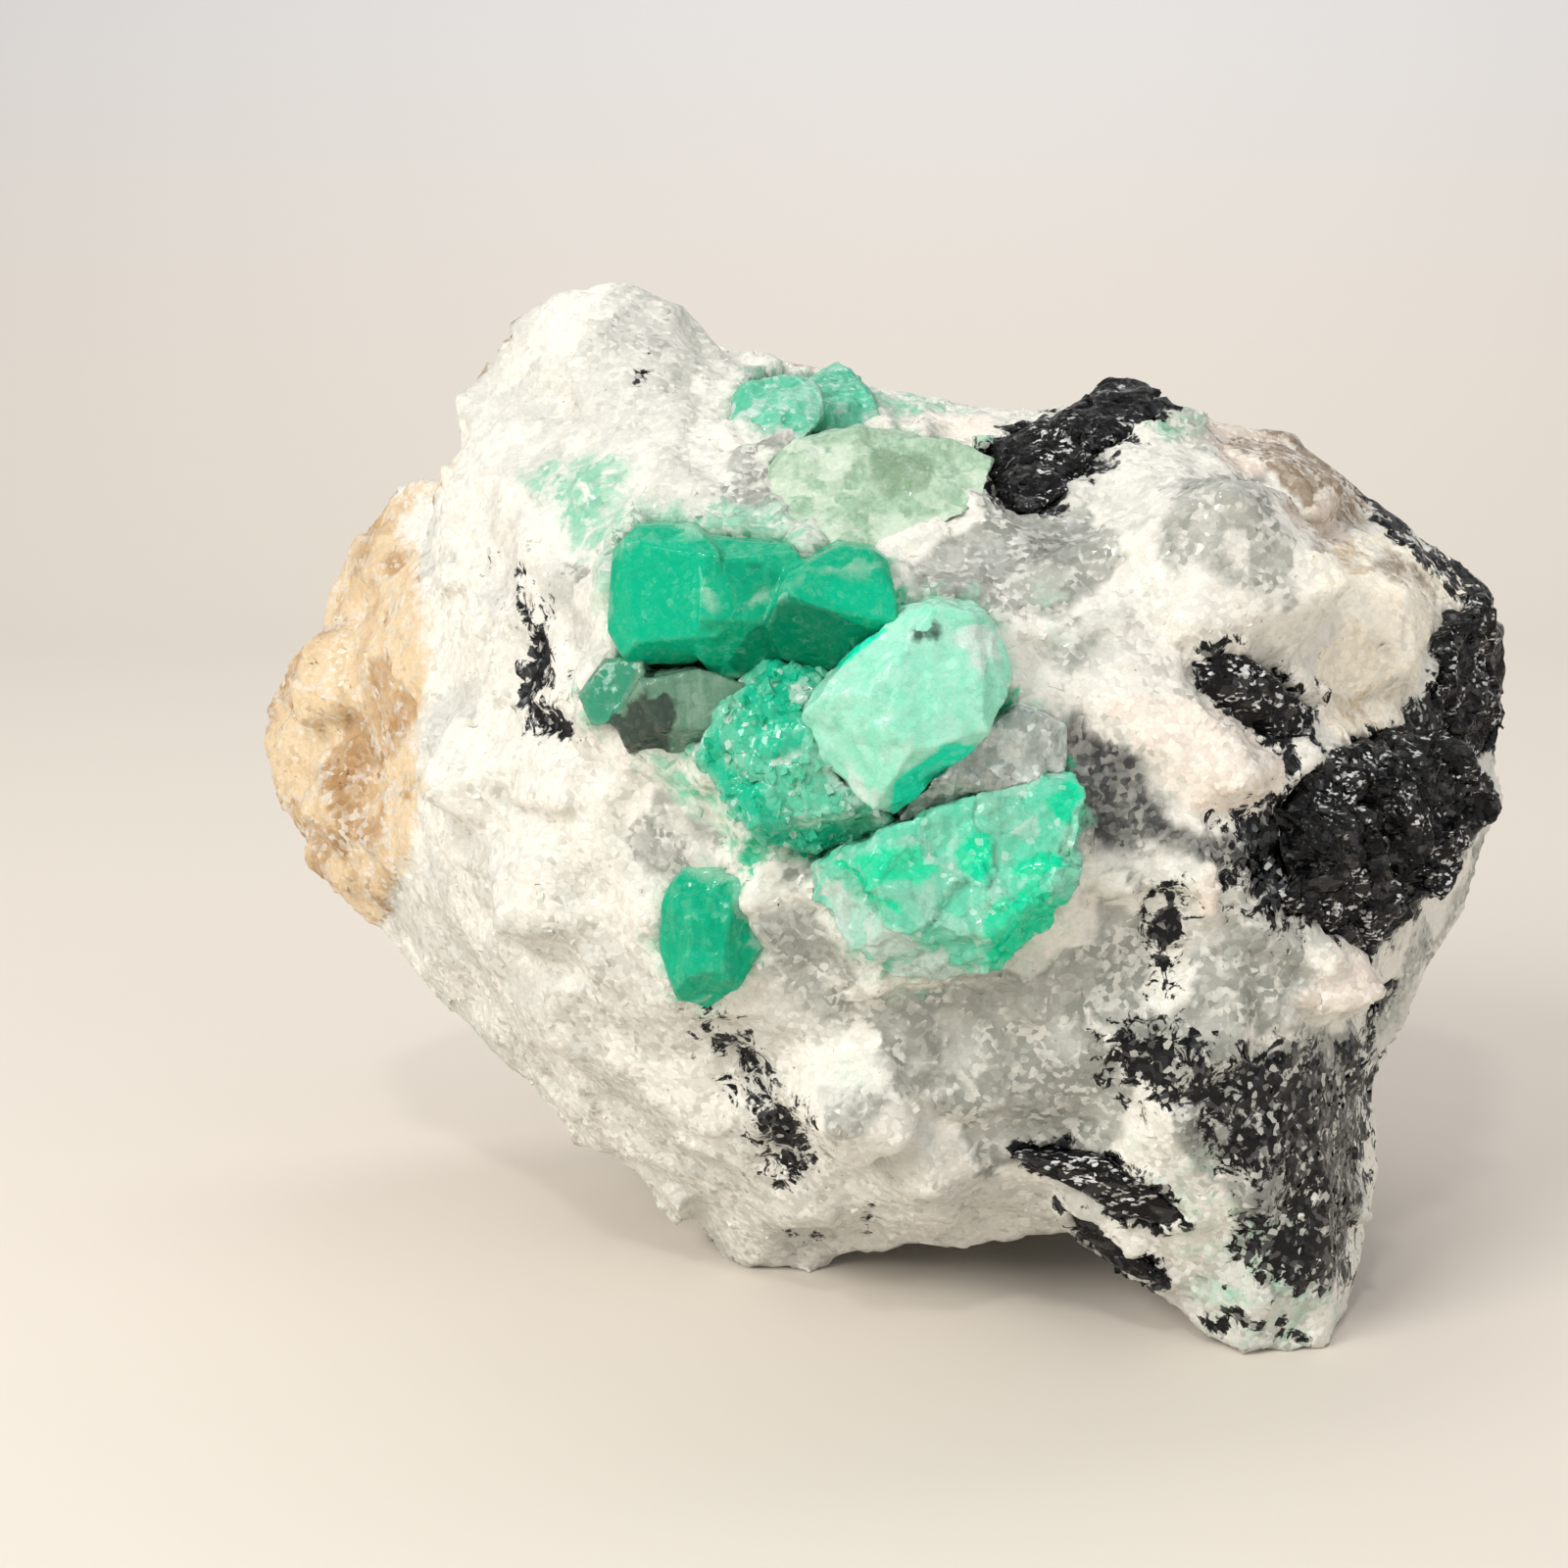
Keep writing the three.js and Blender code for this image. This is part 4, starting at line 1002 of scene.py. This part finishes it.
# How far each point stands out of the points around it: 0 on flat faces, 1 on sharp edges
def edgeShare(mesh, points, normals):
    ends = np.empty(len(mesh.edges) * 2, np.int32)
    mesh.edges.foreach_get("vertices", ends)
    first, second = ends.reshape(-1, 2).T
    count = np.bincount(ends, minlength=len(points))

    def around(values):
        sums = np.bincount(first, values[second], len(points))
        sums += np.bincount(second, values[first], len(points))
        return sums / count

    out = sum((points[:, axis] - around(points[:, axis])) * normals[:, axis] for axis in range(3))
    for step in range(crystalBuild["edgeRounds"]):
        out = around(out)
    return smooth(out, *crystalBuild["edge"])


def crystalFinish(name):
    look = crystalFinishes[name]
    finish = Finish(name)
    tone = {part: colour(*look[part]) for part in ("body", "vivid", "deep", "veil", "milk")}
    blocks = finish.share("blocks")
    grains = finish.share("grains")
    wisps = finish.noise(0.5, 4, 1.6)
    fine = finish.noise(2.2, 4, 0.5)
    streaks = finish.noise(1.3, 4, 0.3, finish.stretched((2.2, 2.2, 0.35), (0.2, 0.5, 0)))
    chips, chipTone = finish.facets(crystalBuild["chips"])
    grainy = grains * 0.6 + fine * 0.4
    milky = finish.ramp(wisps * 0.5 + blocks * 0.2 + grainy * 0.3, 0.36, 0.66)
    base = finish.blend(milky * look["milkiness"], tone["body"], tone["milk"])
    base = finish.blend(finish.ramp(blocks, 0.5, 0.9) * look["patches"], base, tone["deep"])
    base = finish.blend(finish.ramp(streaks, 0.5, 0.7) * look["streaks"], base, tone["veil"])
    base = finish.blend((1 - finish.ramp(streaks, 0.34, 0.5)) * look["streaks"], base, tone["deep"])
    vivid = finish.cover("vivid", grainy, 0.36, 0.6, 0.6)
    base = finish.blend(vivid, base, tone["vivid"])
    base = finish.blend(finish.cover("deep", grainy, 0.4, 0.55, 0.16), base, tone["deep"])
    base = finish.blend(finish.cover("veil", grainy, 0.3, 0.8, 0.9), base, tone["veil"])
    specks = finish.ramp(grainy, 0.58, 0.8) * (1 - 0.75 * vivid)
    base = finish.blend(specks * look["specksAndGlints"], base, tone["veil"])
    # paler sharp edges: thin rims of the crystal, partly a painted edge highlight
    frost = finish.share("edges") * finish.ramp(fine, 0.35, 0.6)
    base = finish.blend(frost * look["edges"], base, tone["veil"])
    # painted sparkles: the few facets at the top of their tone are painted near white as glints
    paintedSparkle = finish.ramp(chipTone, 0.93, 0.97) * look["specksAndGlints"]
    base = finish.blend(paintedSparkle, base, colour(*crystalBuild["paintedSparkle"]))
    lines = finish.veins(wisps, 0.012) * finish.ramp(fine, 0.42, 0.6)
    base = finish.blend(lines * look["veins"], base, tone["veil"])
    soot = finish.cover("soot", grainy, 0.42, 0.66, 1.1)
    base = finish.blend(soot * 0.85, base, colour(*crystalBuild["soot"]))
    return finish.close({
        "Base Color": base,
        "Roughness": look["roughness"] + (chipTone - 0.5) * 0.3,
        "Coat Weight": finish.ramp(chipTone, 0.6, 0.68) * look["shine"],
        "Normal": finish.bump(chips, look["bump"]),
        "Coat Roughness": crystalBuild["coatRoughness"],
        "Coat IOR": crystalBuild["ior"],
        "IOR": crystalBuild["ior"],
        "Specular IOR Level": look["gloss"],
        "Transmission Weight": look["transmission"],
    }, {"Color": (*look["tint"], 1), "Density": look["density"]})


def makeCrystals(rock):
    bm = bmesh.new()
    bm.from_mesh(rock.data)
    stoneTree = BVHTree.FromBMesh(bm)
    bm.free()
    finishes = {name: crystalFinish(name) for name in crystalFinishes}
    pieces = {}
    for seed, (node, crystal) in enumerate(crystals.items()):
        piece = fineCopy(crystal["name"], node, crystalBuild["voxel"])
        mesh = piece.data
        points = pointsOf(mesh)
        normals = normalsOf(mesh)
        covers, _, front = frontFinishes(points, normals, zoneEdge["crystal"])
        heights = np.zeros(len(points))
        for step, name in enumerate(("blocks", "grains")):
            relief, covers[name], _ = cellsAt(points, crystalBuild[name], 3 + seed + step)
            heights += relief * crystal["relief"] / (1 + step)
        covers["edges"] = edgeShare(mesh, points, normals)
        low, high = points.min(0), points.max(0)
        swell = crystal.get("swell", crystalBuild["swell"])
        moved = points + (points * 2 - low - high) / (high - low) * swell
        moved += normals * heights[:, None]
        moved += warpAt(points, crystalBuild["warpSize"], seed) * crystal["warp"]
        setPoints(mesh, moved)
        for name in crystalCovers:
            covers[name] *= front
        gap = np.array([stoneTree.find_nearest(Vector(p) * mm)[3] for p in moved]) / mm
        frosted = (1 - smooth(gap, 0.1, crystalBuild["margin"])) * crystal["margin"]
        covers["veil"] = np.maximum(covers["veil"], frosted)
        for name in crystalShares:
            setCover(mesh, name, covers[name])
        mesh.materials.append(finishes[crystal["finish"]])
        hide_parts(node)
        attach(piece, "root")
        pieces[node] = piece, covers
        print("crystal:", crystal["name"], len(mesh.polygons), "faces")
    return pieces


# Black mica: plates split along one direction
mica = {
    "voxel": 0.18,
    "swell": 0.12,
    "warp": (2.6, 0.7),
    "slabs": (4.2, 0.55),
    "plates": (2.0, 0.45),
    "scales": (0.6, 0.12),
    "black": (4, 4, 5),
    "brown": (22, 20, 19),
    "paintedGlint": (232, 233, 231),
    "ior": 1.6,
    "gloss": 0.18,
    "coatRoughness": 0.16,
    "longer": 3.2,  # length of the plates along the fibre for each mm across
    "nodes": {
        "mica_crest": {"name": "micaCrest", "fibre": (0.8, 0.2, 0.55), "relief": 0.8},
        "mica_lens": {"name": "micaLens", "fibre": (0.8, 0.1, -0.6), "relief": 0.35, "sunk": 0.7},
        "mica_flank": {"name": "micaFlank", "fibre": (0.35, 0.3, -0.9), "relief": 1},
        "mica_blade_upper": {"name": "micaBladeUpper", "fibre": (0.9, 0.1, -0.4), "relief": 0.25},
        "mica_blade_lower": {"name": "micaBladeLower", "fibre": (0.8, 0.2, -0.6), "relief": 0.25},
    },
}


def fibreFrame(fibre):
    along = Vector(fibre).normalized()
    across = along.cross(Vector((0, -1, 0.2))).normalized()
    return np.array((along / mica["longer"], across, along.cross(across)))


def micaFinish():
    finish = Finish("blackMica")
    fine = finish.noise(3.2, 4)
    along = finish.stretched((0.7, 1.4, 1.4), (0, 0.7, 0.3))
    streaks = finish.noise(0.9, 5, 0.8, along, 0.65)
    plates, plateTone = finish.facets(1.8, along)
    scales, scaleTone = finish.facets(4.5, along)
    base = finish.blend(plateTone * 0.6 + streaks * 0.2, colour(*mica["black"]), colour(*mica["brown"]))
    # painted glints: pale streaks in clumps on the black mica, painted near white
    clumps = finish.ramp(finish.noise(0.35, 3), 0.46, 0.54)
    pale = finish.ramp(streaks * 0.6 + scaleTone * 0.3 + clumps * 0.05, 0.58, 0.64) * (0.08 + 0.8 * clumps)
    base = finish.blend(pale, base, colour(*mica["paintedGlint"]))
    normal = finish.bump(plates, 0.35)
    normal = finish.bump(scales, 0.16, normal)
    return finish.close({
        "Base Color": base,
        "Roughness": 0.34 + (scaleTone - 0.5) * 0.4,
        "Coat Weight": finish.ramp(plateTone, 0.7, 0.78) * 0.5,
        "Normal": normal,
        "Coat Roughness": mica["coatRoughness"],
        "Coat IOR": mica["ior"],
        "IOR": mica["ior"],
        "Specular IOR Level": mica["gloss"],
    })


def makeMica():
    material = micaFinish()
    for seed, (node, plate) in enumerate(mica["nodes"].items()):
        piece = fineCopy(plate["name"], node, mica["voxel"])
        mesh = piece.data
        points = pointsOf(mesh)
        stretch = fibreFrame(plate["fibre"])
        heights = np.full(len(points), mica["swell"])
        for step, part in enumerate(("slabs", "plates", "scales")):
            size, height = mica[part]
            heights += cellsAt(points, size, 11 + seed + step, stretch)[0] * height * plate["relief"]
        size, amount = mica["warp"]
        bent = warpAt(points, size, 30 + seed) * amount * plate["relief"]
        sunk = awayFromHeart(points) * plate.get("sunk", 0)
        setPoints(mesh, points + normalsOf(mesh) * heights[:, None] + bent - sunk)
        mesh.materials.append(material)
        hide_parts(node)
        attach(piece, "root")
        print("mica:", plate["name"], len(mesh.polygons), "faces")
    return material


# Small grains that crust the stone and the crystals, joined in one mesh for each kind
crusts = {
    "quartzGrains": {"count": 2200, "size": (0.22, 0.65), "thin": 0.8, "sunk": 0.35, "tilt": 180, "seed": 5},
    "micaFlakes": {"count": 800, "size": (0.3, 0.8), "thin": 0.22, "sunk": 0.1, "tilt": 40, "seed": 6},
    "berylGrains": {"count": 240, "size": (0.3, 0.9), "thin": 0.75, "sunk": 0.32, "tilt": 180, "seed": 7},
}
grainShapes = 8  # different grains of each kind
grainSkew = 2.2  # above 1, most grains are small
leastWeight = {"stone": 1e-6, "crystal": 1e-9}  # leaves no spot out of the draw


# An angular chip about 1 across: a cube with corners cut off
def grainShape(draw, thin):
    bm = bmesh.new()
    bmesh.ops.create_cube(bm, size=1)
    for cut in range(6):
        normal = Vector(draw.normal(size=3)).normalized()
        geometry = bm.verts[:] + bm.edges[:] + bm.faces[:]
        bmesh.ops.bisect_plane(
            bm, geom=geometry, plane_co=normal * draw.uniform(0.3, 0.46), plane_no=normal, clear_outer=True)
        bmesh.ops.holes_fill(bm, edges=bm.edges[:])
    bmesh.ops.scale(bm, vec=(1, draw.uniform(0.6, 1), thin), verts=bm.verts)
    bmesh.ops.triangulate(bm, faces=bm.faces[:])
    bmesh.ops.recalc_face_normals(bm, faces=bm.faces[:])
    bm.verts.index_update()
    corners = np.array([vert.co for vert in bm.verts])
    faces = np.array([[vert.index for vert in face.verts] for face in bm.faces])
    bm.free()
    return corners, faces


# Copies of the grains at spots picked by weight, each with the covers of the spot it sits on
def scatter(name, points, normals, weights, covers, material):
    crust = crusts[name]
    draw = np.random.default_rng(crust["seed"])
    shapes = [grainShape(draw, crust["thin"]) for shape in range(grainShapes)]
    picked = draw.choice(len(points), crust["count"], replace=False, p=weights / weights.sum())
    smallest, largest = crust["size"]
    corners, faces, sources = [], [], []
    total = 0
    for spot in picked:
        shape, triangles = shapes[draw.integers(grainShapes)]
        size = smallest + (largest - smallest) * draw.random() ** grainSkew
        spin = Matrix.Rotation(draw.uniform(0, 2 * math.pi), 3, "Z")
        tilt = math.radians(draw.uniform(0, crust["tilt"]))
        lean = Matrix.Rotation(tilt, 3, Vector(draw.normal(size=3)).normalized())
        stand = Vector(normals[spot]).to_track_quat("Z", "X").to_matrix()
        turn = np.array(lean @ stand @ spin)
        corners.append(shape @ turn.T * size + points[spot] - normals[spot] * size * crust["sunk"])
        faces.append(triangles + total)
        sources.append(np.full(len(shape), spot))
        total += len(shape)
    corners = np.concatenate(corners)
    corners[:, 2] = np.maximum(corners[:, 2], 0)
    mesh = bpy.data.meshes.new(name)
    mesh.from_pydata(corners * mm, [], np.concatenate(faces))
    mesh.validate()
    for cover, values in covers.items():
        setCover(mesh, cover, values[np.concatenate(sources)])
    mesh.materials.append(material)
    piece = bpy.data.objects.new(name, mesh)
    bpy.context.scene.collection.objects.link(piece)
    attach(piece, "root")
    print("crust:", name, len(mesh.polygons), "faces")


def makeCrusts(rock, covers, gaps, green, micaMaterial):
    points = pointsOf(rock.data)
    normals = normalsOf(rock.data)
    kept = {name: covers[name] for name in stoneShares}
    glassy = np.clip(kept["grey"] + kept["dusk"] + kept["smoke"], 0, 1)
    rim = smooth(gaps["crystal"], 0.5, 0.9) * (1 - smooth(gaps["crystal"], 1.2, 3.0))
    clumps = smooth(noiseAt(points, 6, 3, 40), -0.1, 0.4)
    weights = rim * 1.2 + clumps * (1 - 0.7 * smooth(glassy, 0.4, 0.8)) + smooth(kept["pepper"], 0.2, 0.6)
    weights *= smooth(gaps["mica"], 0.3, 0.8) * (1 - smooth(kept["green"], 0.1, 0.4))
    clean = {**kept, "pepper": kept["pepper"] * 0.4}
    weights += leastWeight["stone"]
    scatter("quartzGrains", points, normals, weights, clean, rock.data.materials[0])
    dark = np.maximum(kept["pepper"], kept["mica"] * 0.9)
    weights = smooth(dark, 0.3, 0.8) + leastWeight["stone"]
    scatter("micaFlakes", points, normals, weights, {}, micaMaterial)
    core, shares = green["emerald_core"]
    spots = pointsOf(core.data)
    ways = normalsOf(core.data)
    facing = smooth((ways * seenAt(spots)[2]).sum(1), 0.2, 0.6)
    shares = {name: shares[name] for name in crystalShares}
    weights = facing + leastWeight["crystal"]
    scatter("berylGrains", spots, ways, weights, shares, core.data.materials[0])


# Pale floor that sweeps up into a wall
floorSweep = {
    "width": 6.0,  # metres, as are the next five
    "front": -3.0,
    "bend": 0.35,
    "radius": 0.35,
    "top": 1.2,
    "drop": 0.00002,
    "steps": 16,
    "floor": (234, 225, 212),
    "wall": (226, 226, 229),
    "fade": 300,  # mm up the wall over which the floor's colour ends
}


def only(parts, kind):
    return [part for part in parts if isinstance(part, kind)]


def makeFloor():
    vert, edge = bmesh.types.BMVert, bmesh.types.BMEdge
    bm = bmesh.new()
    half = floorSweep["width"] / 2
    ends = [bm.verts.new((side * half, floorSweep["front"], 0)) for side in (-1, 1)]
    grown = bmesh.ops.extrude_edge_only(bm, edges=[bm.edges.new(ends)])["geom"]
    length = floorSweep["bend"] - floorSweep["front"]
    bmesh.ops.translate(bm, verts=only(grown, vert), vec=(0, length, 0))
    centre = (0, floorSweep["bend"], floorSweep["radius"])
    turned = bmesh.ops.spin(
        bm, geom=only(grown, edge), cent=centre, axis=(1, 0, 0), angle=math.radians(90),
        steps=floorSweep["steps"])["geom_last"]
    wall = bmesh.ops.extrude_edge_only(bm, edges=only(turned, edge))["geom"]
    bmesh.ops.translate(bm, verts=only(wall, vert), vec=(0, 0, floorSweep["top"] - floorSweep["radius"]))
    bmesh.ops.translate(bm, verts=bm.verts, vec=(0, 0, -floorSweep["drop"]))
    bmesh.ops.recalc_face_normals(bm, faces=bm.faces)
    mesh = bpy.data.meshes.new("floor")
    bm.to_mesh(mesh)
    bm.free()
    mesh.shade_smooth()
    floor = bpy.data.objects.new("floor", mesh)
    bpy.context.scene.collection.objects.link(floor)
    finish = Finish("paleFloor")
    height = finish.node("SeparateXYZ", None, {0: finish.place}).outputs[2]
    rise = finish.ramp(height, 0, floorSweep["fade"])
    base = finish.blend(rise, colour(*floorSweep["floor"]), colour(*floorSweep["wall"]))
    mesh.materials.append(finish.close({"Base Color": base, "Roughness": 0.7}))


# Soft studio light
lights = {
    "key": {"place": (-0.31, -0.31, 0.28), "side": 0.22, "watts": 1.6, "tone": (1, 0.985, 0.96)},
    "fill": {"place": (0.34, -0.30, 0.2), "side": 0.3, "watts": 0.3, "tone": (0.97, 0.98, 1)},
    "spark": {"place": (-0.06, -0.25, 0.32), "side": 0.03, "watts": 0.2, "tone": (1, 1, 1)},
    "wall": {"place": (0.1, 0.25, 0.7), "side": 0.5, "watts": 1.9, "tone": (1, 1, 1), "aim": (0, 0.7, 0.3)},
}
lightAim = (0, -5, 25)  # mm
bounces = {"max_bounces": 4, "diffuse_bounces": 2, "glossy_bounces": 1, "transmission_bounces": 3}
worldLight = {"tone": (0.86, 0.86, 0.87, 1), "strength": 0.57}


def makeLights():
    middle = Vector(lightAim) * mm
    for name, light in lights.items():
        data = bpy.data.lights.new(name, "AREA")
        data.size = light["side"]
        data.energy = light["watts"]
        data.color = light["tone"]
        lamp = bpy.data.objects.new(name, data)
        lamp.location = light["place"]
        aim = Vector(light.get("aim", middle)) - lamp.location
        lamp.rotation_euler = aim.to_track_quat("-Z", "Y").to_euler()
        lamp.visible_camera = False
        bpy.context.scene.collection.objects.link(lamp)
    world = bpy.data.worlds.new("paleRoom")
    world.use_nodes = True
    backdrop = world.node_tree.nodes["Background"]
    backdrop.inputs["Color"].default_value = worldLight["tone"]
    backdrop.inputs["Strength"].default_value = worldLight["strength"]
    bpy.context.scene.world = world
    bpy.context.scene.view_settings.view_transform = "Standard"
    for kind, count in bounces.items():
        setattr(bpy.context.scene.cycles, kind, count)


rock, rockCovers, rockGaps = makeStone()
green = makeCrystals(rock)
micaMaterial = makeMica()
makeCrusts(rock, rockCovers, rockGaps, green, micaMaterial)
makeFloor()
makeLights()
print("stage: floor and lights set")
